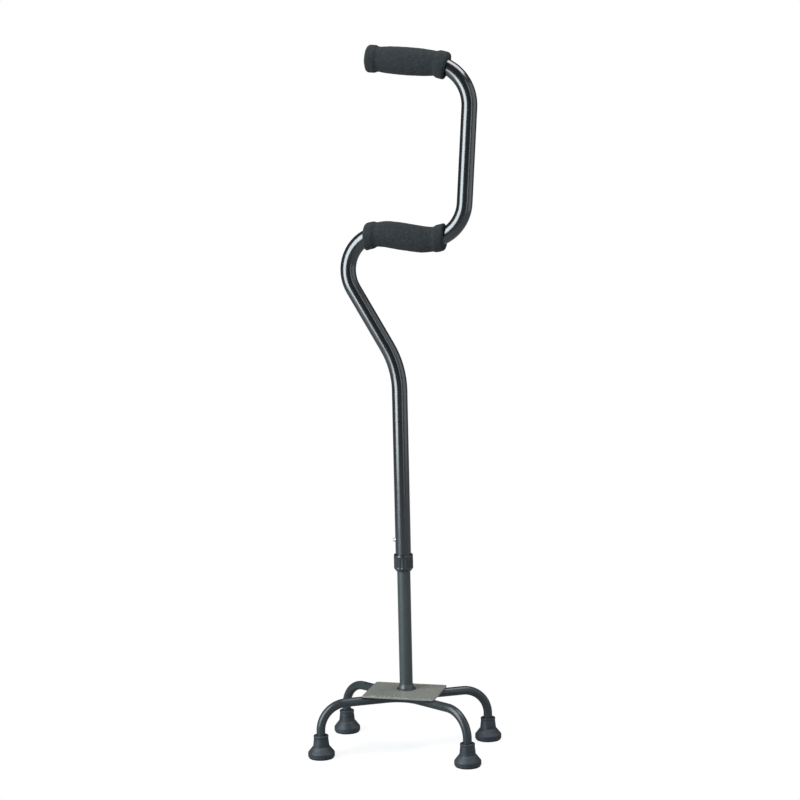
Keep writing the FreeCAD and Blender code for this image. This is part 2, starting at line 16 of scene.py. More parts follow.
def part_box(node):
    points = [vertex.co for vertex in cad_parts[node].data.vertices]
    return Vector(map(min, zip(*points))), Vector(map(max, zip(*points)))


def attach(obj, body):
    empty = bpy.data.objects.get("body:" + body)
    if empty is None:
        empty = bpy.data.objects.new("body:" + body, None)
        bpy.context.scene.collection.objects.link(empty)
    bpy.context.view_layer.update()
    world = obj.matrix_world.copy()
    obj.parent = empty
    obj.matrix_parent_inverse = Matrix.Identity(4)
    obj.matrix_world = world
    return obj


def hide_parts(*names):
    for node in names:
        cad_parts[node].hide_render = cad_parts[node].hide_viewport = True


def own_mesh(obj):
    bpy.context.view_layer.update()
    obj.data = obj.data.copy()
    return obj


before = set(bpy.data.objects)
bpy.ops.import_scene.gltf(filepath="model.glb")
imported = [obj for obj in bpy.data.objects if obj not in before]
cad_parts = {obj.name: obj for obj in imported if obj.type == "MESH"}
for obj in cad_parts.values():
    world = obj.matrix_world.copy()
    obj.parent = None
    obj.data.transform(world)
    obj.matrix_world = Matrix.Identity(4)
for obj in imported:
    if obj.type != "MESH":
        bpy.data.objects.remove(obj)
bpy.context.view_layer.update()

LOG = logging.getLogger("cane")
UP = Vector((0.0, 0.0, 1.0))
ACROSS = Vector((0.0, 1.0, 0.0))

Colour = tuple[float, float, float]
Setting = float | tuple[float, ...] | bpy.types.NodeSocket


# ---------------------------------------------------------------- names that the frame uses
class Body(Enum):
    """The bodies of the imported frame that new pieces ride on."""

    BASE = "base"
    HANDLE = "handle"
    COLLAR = "collar"


class Slot(Enum):
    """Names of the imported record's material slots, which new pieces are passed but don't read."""

    FOAM = "grip_foam"
    PLASTIC = "black_plastic"
    RUBBER = "tip_rubber"
    WELD = "weld_bead"
    SPRING = "spring_steel"


# ---------------------------------------------------------------- node trees
class Graph:
    """A node tree that is written one node at a time."""

    def __init__(self, tree: bpy.types.NodeTree) -> None:
        """Keeps the tree that the nodes go into.

        Args:
            tree: The tree of a material, a world or a node group.
        """
        self.tree = tree

    def add(
        self, kind: str, inputs: dict[str | int, Setting] | None = None, **settings: object
    ) -> bpy.types.Node:
        """Adds a node.

        Args:
            kind: Blender's name for the type of node.
            inputs: A value, or a socket to link, for each input that isn't left at its default.
            **settings: Properties of the node itself, which are set first.

        Returns:
            The new node.
        """
        node = self.tree.nodes.new(kind)
        for name, value in settings.items():
            setattr(node, name, value)
        for name, value in (inputs or {}).items():
            if isinstance(value, bpy.types.NodeSocket):
                self.tree.links.new(value, node.inputs[name])
            else:
                node.inputs[name].default_value = value
        return node

    def math(self, operation: str, first: Setting, second: Setting = 0.0) -> bpy.types.NodeSocket:
        """Works one sum out.

        Args:
            operation: Blender's name for the operation.
            first: The first number.
            second: The second number, where the operation takes one.

        Returns:
            The socket that holds the result.
        """
        node = self.add("ShaderNodeMath", {0: first, 1: second}, operation=operation)
        return node.outputs[0]

    def spread(
        self, value: Setting, low: float, high: float, to_low: float = 0.0, to_high: float = 1.0
    ) -> bpy.types.NodeSocket:
        """Maps one range on to another, smoothly and without leaving it.

        Args:
            value: The value to map.
            low: Where the first range starts.
            high: Where the first range ends.
            to_low: What low becomes.
            to_high: What high becomes.

        Returns:
            The socket that holds the mapped value.
        """
        inputs = {
            "Value": value,
            "From Min": low,
            "From Max": high,
            "To Min": to_low,
            "To Max": to_high,
        }
        node = self.add("ShaderNodeMapRange", inputs, interpolation_type="SMOOTHSTEP")
        return node.outputs["Result"]

    def tint(self, mask: Setting, under: Colour | Setting, over: Colour | Setting) -> bpy.types.NodeSocket:
        """Lays one colour over another where a mask says.

        Args:
            mask: From 0, where the first colour shows, to 1, where the second does.
            under: The colour below, as three numbers or a socket.
            over: The colour above, as three numbers or a socket.

        Returns:
            The socket that holds the mixed colour.
        """
        node = self.add("ShaderNodeMix", {0: mask}, data_type="RGBA")
        for index, colour in ((6, under), (7, over)):
            if isinstance(colour, bpy.types.NodeSocket):
                self.tree.links.new(colour, node.inputs[index])
            else:
                node.inputs[index].default_value = (*colour, 1.0)
        return node.outputs[2]

    def place(self, stretch: tuple[float, float, float] = (1.0, 1.0, 1.0)) -> bpy.types.NodeSocket:
        """Gives the place on the object, in metres.

        Args:
            stretch: How much each axis counts.

        Returns:
            The socket that holds the place.
        """
        where = self.add("ShaderNodeTexCoord").outputs["Object"]
        return self.add("ShaderNodeMapping", {"Vector": where, "Scale": stretch}).outputs[0]

    def cloud(self, where: Setting, scale: Setting, detail: float = 3.0) -> bpy.types.NodeSocket:
        """Gives soft noise.

        Args:
            where: The place that it is read at.
            scale: How many of its lumps fit in a metre.
            detail: How many finer layers lie on it.

        Returns:
            The socket that holds the noise, around 0.5.
        """
        inputs = {"Vector": where, "Scale": scale, "Detail": detail}
        return self.add("ShaderNodeTexNoise", inputs).outputs["Fac"]

    def mix(self, share: Setting, first: bpy.types.Node, second: bpy.types.Node) -> bpy.types.Node:
        """Mixes two shaders.

        Args:
            share: How much of the second one shows.
            first: The node of the first shader.
            second: The node of the second one.

        Returns:
            The node of the mixed shader.
        """
        return self.add("ShaderNodeMixShader", {0: share, 1: first.outputs[0], 2: second.outputs[0]})

    def use(self, effect: "Effect", inputs: dict[str | int, Setting], output: str) -> bpy.types.NodeSocket:
        """Places a shared effect.

        Args:
            effect: The effect.
            inputs: This material's own values for it.
            output: The name of the output that is wanted.

        Returns:
            That output's socket.
        """
        node = self.add("ShaderNodeGroup", node_tree=effect.group())
        for name, value in inputs.items():
            if isinstance(value, bpy.types.NodeSocket):
                self.tree.links.new(value, node.inputs[name])
            else:
                node.inputs[name].default_value = value
        return node.outputs[output]


# ---------------------------------------------------------------- shared effects
class Effect(Enum):
    """The surface effects that more than one finish uses, each a node group built once."""

    GRAIN = "fine_grain"
    EDGE_WEAR = "edge_wear"
    DUST = "settled_dust"
    SCUFFS = "long_scuffs"

    def group(self) -> bpy.types.NodeTree:
        """Gives the effect's node group.

        Returns:
            The group, which is built the first time that it is asked for.
        """
        found = bpy.data.node_groups.get(self.value)
        if found is not None:
            return found
        tree = bpy.data.node_groups.new(self.value, "ShaderNodeTree")
        writers = {
            Effect.GRAIN: self._write_grain,
            Effect.EDGE_WEAR: self._write_edge_wear,
            Effect.DUST: self._write_dust,
            Effect.SCUFFS: self._write_scuffs,
        }
        writers[self](tree)
        return tree

    @staticmethod
    def _sockets(
        tree: bpy.types.NodeTree, inputs: dict[str, float], output: str
    ) -> tuple[Graph, dict[str, bpy.types.NodeSocket], bpy.types.Node]:
        """Opens a group.

        Args:
            tree: The group's tree.
            inputs: The name and the usual value of each input.
            output: The name of its one output.

        Returns:
            The group's graph, its input sockets by name, and the node that closes it.
        """
        for name, value in inputs.items():
            socket = tree.interface.new_socket(name, in_out="INPUT", socket_type="NodeSocketFloat")
            socket.default_value = value
        tree.interface.new_socket(output, in_out="OUTPUT", socket_type="NodeSocketFloat")
        graph = Graph(tree)
        opened = graph.add("NodeGroupInput")
        closed = graph.add("NodeGroupOutput")
        return graph, {name: opened.outputs[name] for name in inputs}, closed

    @staticmethod
    def _write_grain(tree: bpy.types.NodeTree) -> None:
        """Writes a fine even grain, with a coarser one showing through it.

        Args:
            tree: The group's tree.
        """
        graph, given, closed = Effect._sockets(tree, {"Scale": 2000.0, "Coarse": 0.3}, "Value")
        where = graph.place()
        fine = graph.cloud(where, given["Scale"], 2.0)
        broad = graph.cloud(where, graph.math("MULTIPLY", given["Scale"], 0.13), 3.0)
        lift = graph.math("MULTIPLY", graph.math("SUBTRACT", broad, 0.5), given["Coarse"])
        tree.links.new(graph.math("ADD", fine, lift), closed.inputs["Value"])

    @staticmethod
    def _write_edge_wear(tree: bpy.types.NodeTree) -> None:
        """Writes a mask of the sharp edges, where a rounded normal leaves the true one, broken up unevenly.

        Args:
            tree: The group's tree.
        """
        graph, given, closed = Effect._sockets(tree, {"Amount": 0.6, "Breakup": 300.0}, "Mask")
        true = graph.add("ShaderNodeNewGeometry").outputs["Normal"]
        soft = graph.add("ShaderNodeBevel", {"Radius": 0.0006}, samples=4).outputs["Normal"]
        agree = graph.add("ShaderNodeVectorMath", {0: true, 1: soft}, operation="DOT_PRODUCT")
        edge = graph.spread(graph.math("SUBTRACT", 1.0, agree.outputs["Value"]), 0.02, 0.16)
        broken = graph.spread(graph.cloud(graph.place(), given["Breakup"], 4.0), 0.42, 0.66)
        worn = graph.math("MULTIPLY", edge, broken)
        tree.links.new(graph.math("MULTIPLY", worn, given["Amount"]), closed.inputs["Mask"])

    @staticmethod
    def _write_dust(tree: bpy.types.NodeTree) -> None:
        """Writes a mask of what faces up, where dust has settled in patches.

        Args:
            tree: The group's tree.
        """
        graph, given, closed = Effect._sockets(tree, {"Amount": 0.3, "Patches": 60.0}, "Mask")
        normal = graph.add("ShaderNodeNewGeometry").outputs["Normal"]
        upward = graph.add("ShaderNodeSeparateXYZ", {0: normal}).outputs["Z"]
        facing = graph.spread(upward, 0.1, 0.95)
        patchy = graph.spread(graph.cloud(graph.place(), given["Patches"], 5.0), 0.3, 0.75)
        settled = graph.math("MULTIPLY", facing, patchy)
        tree.links.new(graph.math("MULTIPLY", settled, given["Amount"]), closed.inputs["Mask"])

    @staticmethod
    def _write_scuffs(tree: bpy.types.NodeTree) -> None:
        """Writes a mask of thin upright rub marks.

        Args:
            tree: The group's tree.
        """
        graph, given, closed = Effect._sockets(tree, {"Amount": 0.4, "Scale": 900.0}, "Mask")
        marks = graph.cloud(graph.place((1.0, 1.0, 0.05)), given["Scale"], 2.0)
        where = graph.cloud(graph.place(), 45.0, 2.0)
        thin = graph.math("MULTIPLY", graph.spread(marks, 0.68, 0.76), graph.spread(where, 0.52, 0.7))
        tree.links.new(graph.math("MULTIPLY", thin, given["Amount"]), closed.inputs["Mask"])


# ---------------------------------------------------------------- finishes
@dataclass(frozen=True)
class Finish(ABC):
    """How a surface looks.

    Attributes:
        name: The material's name.
        colour: The clean surface's colour.
        roughness: The clean surface's roughness.
    """

    name: str
    colour: Colour
    roughness: float

    def material(self) -> bpy.types.Material:
        """Gives the finish's material.

        Returns:
            The material, which is made the first time that it is asked for.
        """
        found = bpy.data.materials.get(self.name)
        if found is not None:
            return found
        made = bpy.data.materials.new(self.name)
        made.use_nodes = True
        made.node_tree.nodes.clear()
        graph = Graph(made.node_tree)
        surface = self.shade(graph)
        graph.add("ShaderNodeOutputMaterial", {"Surface": surface})
        made.diffuse_color = (*self.colour, 1.0)
        return made

    @abstractmethod
    def shade(self, graph: Graph) -> bpy.types.NodeSocket:
        """Writes the material's nodes.

        Args:
            graph: The material's graph.

        Returns:
            The socket of its shader.
        """

    @staticmethod
    def bump(graph: Graph, height: Setting, depth: float) -> bpy.types.NodeSocket:
        """Raises the surface a little.

        Args:
            graph: The material's graph.
            height: How high each place is, from 0 to 1.
            depth: How far apart 0 and 1 are.

        Returns:
            The socket of the bent normal.
        """
        inputs = {"Strength": 1.0, "Distance": depth, "Height": height}
        return graph.add("ShaderNodeBump", inputs).outputs["Normal"]


@dataclass(frozen=True)
class Enamel(Finish):
    """Baked gloss enamel on bent tube, with slight orange peel, dust and rub marks.

    Attributes:
        dust: The colour of what has settled on it.
        peel: The depth of its orange peel.
        lacquer: How strong its clear top layer is.
        lacquer_roughness: The roughness of that layer.
        worn: The colour of its worn edges.
    """

    dust: Colour = (0.2, 0.21, 0.22)
    peel: float = 0.000003
    lacquer: float = 0.6
    lacquer_roughness: float = 0.13
    worn: Colour = (0.32, 0.32, 0.31)

    def shade(self, graph: Graph) -> bpy.types.NodeSocket:
        """Writes the material's nodes.

        Args:
            graph: The material's graph.

        Returns:
            The socket of its shader.
        """
        peel = graph.use(Effect.GRAIN, {"Scale": 420.0, "Coarse": 0.5}, "Value")
        dust = graph.use(Effect.DUST, {"Amount": 0.04, "Patches": 80.0}, "Mask")
        scuffs = graph.use(Effect.SCUFFS, {"Amount": 0.2, "Scale": 1500.0}, "Mask")
        wear = graph.use(Effect.EDGE_WEAR, {"Amount": 0.5, "Breakup": 700.0}, "Mask")
        colour = graph.tint(dust, self.colour, self.dust)
        colour = graph.tint(wear, colour, self.worn)
        rough = graph.math("ADD", graph.spread(peel, 0.3, 0.7, self.roughness, self.roughness + 0.04), scuffs)
        inputs = {
            "Base Color": colour,
            "Roughness": graph.math("ADD", rough, graph.math("MULTIPLY", dust, 0.8)),
            "Coat Weight": graph.math("SUBTRACT", self.lacquer, graph.math("MULTIPLY", scuffs, 0.6)),
            "Coat Roughness": self.lacquer_roughness,
            "Specular IOR Level": 0.9,
            "Normal": self.bump(graph, peel, self.peel),
        }
        return graph.add("ShaderNodeBsdfPrincipled", inputs).outputs[0]


@dataclass(frozen=True)
class SatinPaint(Finish):
    """Satin paint on steel, rubbed along the tube and worn bright on sharp edges.

    Attributes:
        steel: The colour where it is worn through.
        texture: The depth of its fine texture.
        rubbed: How strong the rub marks are.
        dust: The colour of what has settled on it.
        patch_shade: How bright its dull patches are beside its own colour.
    """

    steel: Colour = (0.4, 0.4, 0.39)
    texture: float = 0.000008
    rubbed: float = 0.12
    dust: Colour = (0.25, 0.25, 0.24)
    patch_shade: float = 0.7

    def shade(self, graph: Graph) -> bpy.types.NodeSocket:
        """Writes the material's nodes.

        Args:
            graph: The material's graph.

        Returns:
            The socket of its shader.
        """
        grain = graph.use(Effect.GRAIN, {"Scale": 2600.0, "Coarse": 0.6}, "Value")
        dust = graph.use(Effect.DUST, {"Amount": 0.06, "Patches": 70.0}, "Mask")
        scuffs = graph.use(Effect.SCUFFS, {"Amount": self.rubbed, "Scale": 1100.0}, "Mask")
        wear = graph.use(Effect.EDGE_WEAR, {"Amount": 0.7, "Breakup": 500.0}, "Mask")
        patches = graph.spread(graph.cloud(graph.place(), 35.0, 4.0), 0.3, 0.7, 0.0, 0.35)
        darker = tuple(self.patch_shade * part for part in self.colour)
        colour = graph.tint(patches, self.colour, darker)
        colour = graph.tint(dust, colour, self.dust)
        colour = graph.tint(graph.math("MAXIMUM", wear, scuffs), colour, self.steel)
        inputs = {
            "Base Color": colour,
            "Roughness": graph.spread(grain, 0.2, 0.8, self.roughness - 0.05, self.roughness + 0.07),
            "Metallic": graph.math("MULTIPLY", wear, 0.8),
            "Normal": self.bump(graph, grain, self.texture),
        }
        return graph.add("ShaderNodeBsdfPrincipled", inputs).outputs[0]


@dataclass(frozen=True)
class PowderCoat(Finish):
    """Powder coat on flat plate: a speckled warm grey that weld heat and handling have marked.

    Attributes:
        speck: The colour of its pale specks.
        stain: The colour of its dark smudges.
        texture: The depth of its surface.
    """

    speck: Colour = (0.34, 0.34, 0.32)
    stain: Colour = (0.09, 0.09, 0.08)
    texture: float = 0.000004

    def shade(self, graph: Graph) -> bpy.types.NodeSocket:
        """Writes the material's nodes.

        Args:
            graph: The material's graph.

        Returns:
            The socket of its shader.
        """
        grain = graph.use(Effect.GRAIN, {"Scale": 1700.0, "Coarse": 0.8}, "Value")
        wear = graph.use(Effect.EDGE_WEAR, {"Amount": 0.9, "Breakup": 260.0}, "Mask")
        specks = graph.spread(graph.cloud(graph.place(), 900.0, 1.0), 0.72, 0.8, 0.0, 0.3)
        smudges = graph.spread(graph.cloud(graph.place((1.0, 2.2, 1.0)), 22.0, 3.0), 0.5, 0.8, 0.0, 0.35)
        colour = graph.tint(smudges, self.colour, self.stain)
        colour = graph.tint(graph.math("MAXIMUM", specks, wear), colour, self.speck)
        inputs = {
            "Base Color": colour,
            "Roughness": graph.spread(grain, 0.2, 0.8, self.roughness - 0.03, self.roughness + 0.04),
            "Metallic": graph.math("MULTIPLY", wear, 0.6),
            "Normal": self.bump(graph, grain, self.texture),
        }
        return graph.add("ShaderNodeBsdfPrincipled", inputs).outputs[0]


@dataclass(frozen=True)
class FoamSkin(Finish):
    """Closed-cell foam: fine open cells with painted shade in their hollows, pale specks and a hand-worn
    sheen.

    Attributes:
        pore_shade: The colour down in its cells, a painted shade for the shadow in their hollows.
        speck: The colour of its pale specks.
        cells: How many cells fit in a metre.
        depth: How deep the cells are.
    """

    # Painted shade: the bottoms of the foam's cells are coloured darker for the shadow that would fall in
    # them.
    pore_shade: Colour = (0.006, 0.0075, 0.008)
    speck: Colour = (0.042, 0.05, 0.054)
    cells: float = 1150.0
    depth: float = 0.00035

    def shade(self, graph: Graph) -> bpy.types.NodeSocket:
        """Writes the material's nodes.

        Args:
            graph: The material's graph.

        Returns:
            The socket of its shader.
        """
        inputs = {"Vector": graph.place(), "Scale": self.cells, "Randomness": 1.0}
        cell = graph.add("ShaderNodeTexVoronoi", inputs, feature="SMOOTH_F1").outputs["Distance"]
        walls = graph.spread(cell, 0.15, 0.6)
        grain = graph.use(Effect.GRAIN, {"Scale": 2400.0, "Coarse": 0.9}, "Value")
        dust = graph.use(Effect.DUST, {"Amount": 0.03, "Patches": 120.0}, "Mask")
        # Painted shade: the cells' hollows, which the bump below sinks, take the darker colour.
        colour = graph.tint(walls, self.pore_shade, self.colour)
        specks = graph.spread(graph.cloud(graph.place(), 750.0, 2.0), 0.56, 0.7, 0.0, 0.7)
        colour = graph.tint(graph.math("MAXIMUM", specks, dust), colour, self.speck)
        height = graph.math("ADD", walls, graph.math("MULTIPLY", grain, 0.6))
        inputs = {
            "Base Color": colour,
            "Roughness": graph.spread(grain, 0.2, 0.8, self.roughness - 0.08, self.roughness + 0.06),
            "Sheen Weight": 0.04,
            "Sheen Roughness": 0.5,
            "Specular IOR Level": 0.25,
            "Normal": self.bump(graph, height, self.depth),
        }
        return graph.add("ShaderNodeBsdfPrincipled", inputs).outputs[0]


@dataclass(frozen=True)
class MouldedPlastic(Finish):
    """Moulded plastic with a fine spark-eroded texture and rubbed edges.

    Attributes:
        rubbed: The colour of its rubbed edges.
        texture: The depth of the texture.
    """

    rubbed: Colour = (0.07, 0.077, 0.083)
    texture: float = 0.00003

    def shade(self, graph: Graph) -> bpy.types.NodeSocket:
        """Writes the material's nodes.

        Args:
            graph: The material's graph.

        Returns:
            The socket of its shader.
        """
        grain = graph.use(Effect.GRAIN, {"Scale": 3200.0, "Coarse": 0.3}, "Value")
        wear = graph.use(Effect.EDGE_WEAR, {"Amount": 0.7, "Breakup": 400.0}, "Mask")
        dust = graph.use(Effect.DUST, {"Amount": 0.1, "Patches": 150.0}, "Mask")
        colour = graph.tint(graph.math("MAXIMUM", wear, dust), self.colour, self.rubbed)
        inputs = {
            "Base Color": colour,
            "Roughness": graph.spread(grain, 0.2, 0.8, self.roughness - 0.05, self.roughness + 0.08),
            "Normal": self.bump(graph, grain, self.texture),
        }
        return graph.add("ShaderNodeBsdfPrincipled", inputs).outputs[0]


@dataclass(frozen=True)
class Rubber(Finish):
    """Moulded rubber with a pale bloom, dull flow marks and scuffs on what faces up.

    Attributes:
        bloom: The colour of the bloom.
        texture: The depth of its surface.
        scuffed: The colour of its scuffs and of the dust on it.
    """

    bloom: Colour = (0.035, 0.045, 0.053)
    texture: float = 0.00004
    scuffed: Colour = (0.09, 0.1, 0.11)

    def shade(self, graph: Graph) -> bpy.types.NodeSocket:
        """Writes the material's nodes.

        Args:
            graph: The material's graph.

        Returns:
            The socket of its shader.
        """
        grain = graph.use(Effect.GRAIN, {"Scale": 1500.0, "Coarse": 0.8}, "Value")
        dust = graph.use(Effect.DUST, {"Amount": 0.22, "Patches": 130.0}, "Mask")
        wear = graph.use(Effect.EDGE_WEAR, {"Amount": 0.5, "Breakup": 350.0}, "Mask")
        flow = graph.spread(graph.cloud(graph.place((1.0, 1.0, 3.5)), 55.0, 4.0), 0.35, 0.72, 0.0, 0.55)
        colour = graph.tint(flow, self.colour, self.bloom)
        colour = graph.tint(graph.math("MAXIMUM", wear, dust), colour, self.scuffed)
        inputs = {
            "Base Color": colour,
            "Roughness": graph.spread(grain, 0.2, 0.8, self.roughness - 0.08, self.roughness + 0.1),
            "Specular IOR Level": 0.4,
            "Normal": self.bump(graph, grain, self.texture),
        }
        return graph.add("ShaderNodeBsdfPrincipled", inputs).outputs[0]


@dataclass(frozen=True)
class BareMetal(Finish):
    """Bare or plated steel, with fine machining marks and dull patches.

    Attributes:
        dull: The colour of its dull patches.
        texture: The depth of the marks.
    """

    dull: Colour = (0.35, 0.34, 0.32)
    texture: float = 0.00001

    def shade(self, graph: Graph) -> bpy.types.NodeSocket:
        """Writes the material's nodes.

        Args:
            graph: The material's graph.

        Returns:
            The socket of its shader.
        """
        grain = graph.use(Effect.GRAIN, {"Scale": 2200.0, "Coarse": 0.7}, "Value")
        scuffs = graph.use(Effect.SCUFFS, {"Amount": 0.4, "Scale": 1600.0}, "Mask")
        patches = graph.spread(graph.cloud(graph.place(), 180.0, 4.0), 0.45, 0.75, 0.0, 0.5)
        inputs = {
            "Base Color": graph.tint(patches, self.colour, self.dull),
            "Metallic": 1.0,
            "Roughness": graph.math(
                "ADD", graph.spread(grain, 0.2, 0.8, self.roughness, self.roughness + 0.1), scuffs
            ),
            "Normal": self.bump(graph, grain, self.texture),
        }
        return graph.add("ShaderNodeBsdfPrincipled", inputs).outputs[0]


ENAMEL = Enamel("gloss_black_enamel", (0.0035, 0.005, 0.0065), 0.2)
TUBE_PAINT = SatinPaint("satin_black_tube", (0.037, 0.045, 0.046), 0.35)
LEG_PAINT = SatinPaint("satin_black_leg", (0.02, 0.025, 0.028), 0.3, rubbed=0.06)
WELD_PAINT = SatinPaint("painted_weld", (0.02, 0.021, 0.022), 0.4, texture=0.00005, rubbed=0.0)
PLATE_COAT = PowderCoat("grey_powder_coat", (0.175, 0.172, 0.15), 0.22)
FOAM = FoamSkin("charcoal_foam", (0.016, 0.0195, 0.021), 0.86)
COLLAR_PLASTIC = MouldedPlastic("black_collar_plastic", (0.02, 0.0245, 0.028), 0.17, texture=0.000003)
INNER_PLASTIC = MouldedPlastic("black_inner_plastic", (0.02, 0.02, 0.022), 0.5)
NYLON = MouldedPlastic("white_nylon", (0.62, 0.6, 0.55), 0.45, rubbed=(0.7, 0.69, 0.66))
TIP_RUBBER = Rubber("slate_rubber", (0.014, 0.019, 0.023), 0.5)
BUTTON_STEEL = BareMetal("plated_steel", (0.78, 0.77, 0.74), 0.16, dull=(0.6, 0.6, 0.58))
SPRING_STEEL = BareMetal("spring_steel", (0.38, 0.38, 0.39), 0.3)
PLAIN_STEEL = BareMetal("plain_steel", (0.5, 0.49, 0.47), 0.38)


# ---------------------------------------------------------------- mesh tools
ROUNDING_REACH = 0.62
ROUNDING_STEP = math.radians(14)
NO_LENGTH = 1e-6


@dataclass(frozen=True)
class Corner:
    """A corner of an outline.

    Attributes:
        out: Its distance from the axis.
        along: Its distance along the axis.
        rounding: The radius that it is rounded to.
    """

    out: float
    along: float
    rounding: float = 0.0


def rounded(corners: Sequence[Corner], spacing: float) -> list[Vector]:
    """Rounds the corners of an open outline and divides its long sides.

    Args:
        corners: The outline's corners in order, of which the first and the last stay sharp.
        spacing: The most that two neighbouring points are apart.

    Returns:
        The outline's points, with the distance from the axis first and along it second.
    """
    flat = [Vector((corner.out, corner.along)) for corner in corners]
    points = [flat[0]]
    for before, here, after, corner in zip(flat, flat[1:], flat[2:], corners[1:]):
        back = before - here
        ahead = after - here
        half = back.angle(ahead) / 2
        longest = ROUNDING_REACH * min(back.length, ahead.length)
        reach = min(corner.rounding / math.tan(half), longest)
        if reach < NO_LENGTH:
            points.append(here)
            continue
        radius = reach * math.tan(half)
        centre = here + (back.normalized() + ahead.normalized()).normalized() * (radius / math.sin(half))
        first = here + back.normalized() * reach - centre
        last = here + ahead.normalized() * reach - centre
        sweep = math.pi - 2 * half
        steps = max(2, math.ceil(sweep / ROUNDING_STEP))
        for step in range(steps + 1):
            share = sweep * step / steps
            spoke = first * math.sin(sweep - share) + last * math.sin(share)
            points.append(centre + spoke / math.sin(sweep))
    points.append(flat[-1])
    divided = [points[0]]
    for start, end in zip(points, points[1:]):
        parts = max(1, math.ceil((end - start).length / spacing))
        divided.extend(start.lerp(end, part / parts) for part in range(1, parts + 1))
    return divided


class Skin:
    """Rings of points that are joined, one to the next, into a closed mesh."""

    def __init__(self) -> None:
        """Starts with no points."""
        self.mesh = bmesh.new()

    def loft(
        self, rings: Iterable[Iterable[Vector]], start: Vector | None = None, end: Vector | None = None
    ) -> None:
        """Joins rings of equally many points.

        Args:
            rings: The rings, in order.
            start: The point that closes the first ring, if the last ring doesn't join it.
            end: The point that closes the last ring, if the first ring doesn't join it.
        """
        made = [[self.mesh.verts.new(point) for point in ring] for ring in rings]
        pairs = list(zip(made, made[1:]))
        if start is None and end is None:
            pairs.append((made[-1], made[0]))
        for near, far in pairs:
            for index in range(len(near)):
                after = (index + 1) % len(near)
                self.mesh.faces.new((near[index], near[after], far[after], far[index]))
        for ring, point in ((made[0], start), (made[-1], end)):
            if point is not None:
                self._fan(ring, point)

    def _fan(self, ring: list[bmesh.types.BMVert], point: Vector) -> None:
        """Closes a ring with triangles.

        Args:
            ring: The ring's vertices.
            point: The point that they meet at.
        """
        middle = self.mesh.verts.new(point)
        for index in range(len(ring)):
            self.mesh.faces.new((ring[index], ring[(index + 1) % len(ring)], middle))

    def roughen(self, depth: float, lumps: float) -> None:
        """Moves each point a little along its normal.

        Args:
            depth: The most that a point moves.
            lumps: How many lumps fit in a metre.
        """
        self.mesh.normal_update()
        for vert in self.mesh.verts:
            vert.co += vert.normal * depth * noise.noise(vert.co * lumps)

    def piece(self, name: str, body: Body, slot: Slot, finish: Finish) -> bpy.types.Object:
        """Turns the skin into a finished piece that rides on a body.

        Args:
            name: The piece's name.
            body: The body that it rides on.
            slot: The record's slot for it; not used.
            finish: Its finish.

        Returns:
            The piece's object.
        """
        bmesh.ops.recalc_face_normals(self.mesh, faces=self.mesh.faces)
        data = bpy.data.meshes.new(name)
        self.mesh.to_mesh(data)
        self.mesh.free()
        data.shade_smooth()
        data.materials.append(finish.material())
        made = bpy.data.objects.new(name, data)
        bpy.context.scene.collection.objects.link(made)
        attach(made, body.value)
        return made


def circle(count: int) -> list[tuple[float, float]]:
    """Gives the cosine and sine of evenly spaced angles.

    Args:
        count: How many there are.

    Returns:
        One pair for each angle.
    """
    angles = [math.tau * index / count for index in range(count)]
    return [(math.cos(angle), math.sin(angle)) for angle in angles]


def turn(outline: Sequence[Vector], centre: Vector, count: int) -> list[list[Vector]]:
    """Turns an outline about an upright axis.

    Args:
        outline: Points with the distance from the axis first and the height second.
        centre: Where the axis stands; its height isn't used.
        count: How many points each ring has.

    Returns:
        One ring for each point of the outline.
    """
    spokes = circle(count)
    return [
        [Vector((centre.x + point.x * across, centre.y + point.x * away, point.y)) for across, away in spokes]
        for point in outline
    ]


def middle(node: str) -> Vector:
    """Gives the middle of a CAD node's box.

    Args:
        node: The node's name.

    Returns:
        The middle point.
    """
    low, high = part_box(node)
    return (low + high) / 2


def dress(node: str, finish: Finish) -> str:
    """Gives a CAD node a better material.

    Args:
        node: The node's name.
        finish: Its finish.

    Returns:
        The node's name.
    """
    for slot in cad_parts[node].material_slots:
        slot.material = finish.material()
    return node


# ---------------------------------------------------------------- handle
@dataclass(frozen=True)
class Bend:
    """A bend of the handle tube.

    Attributes:
        radius: The radius of its centreline.
        turn: How far it turns, in degrees, towards +X.
    """

    radius: float
    turn: float


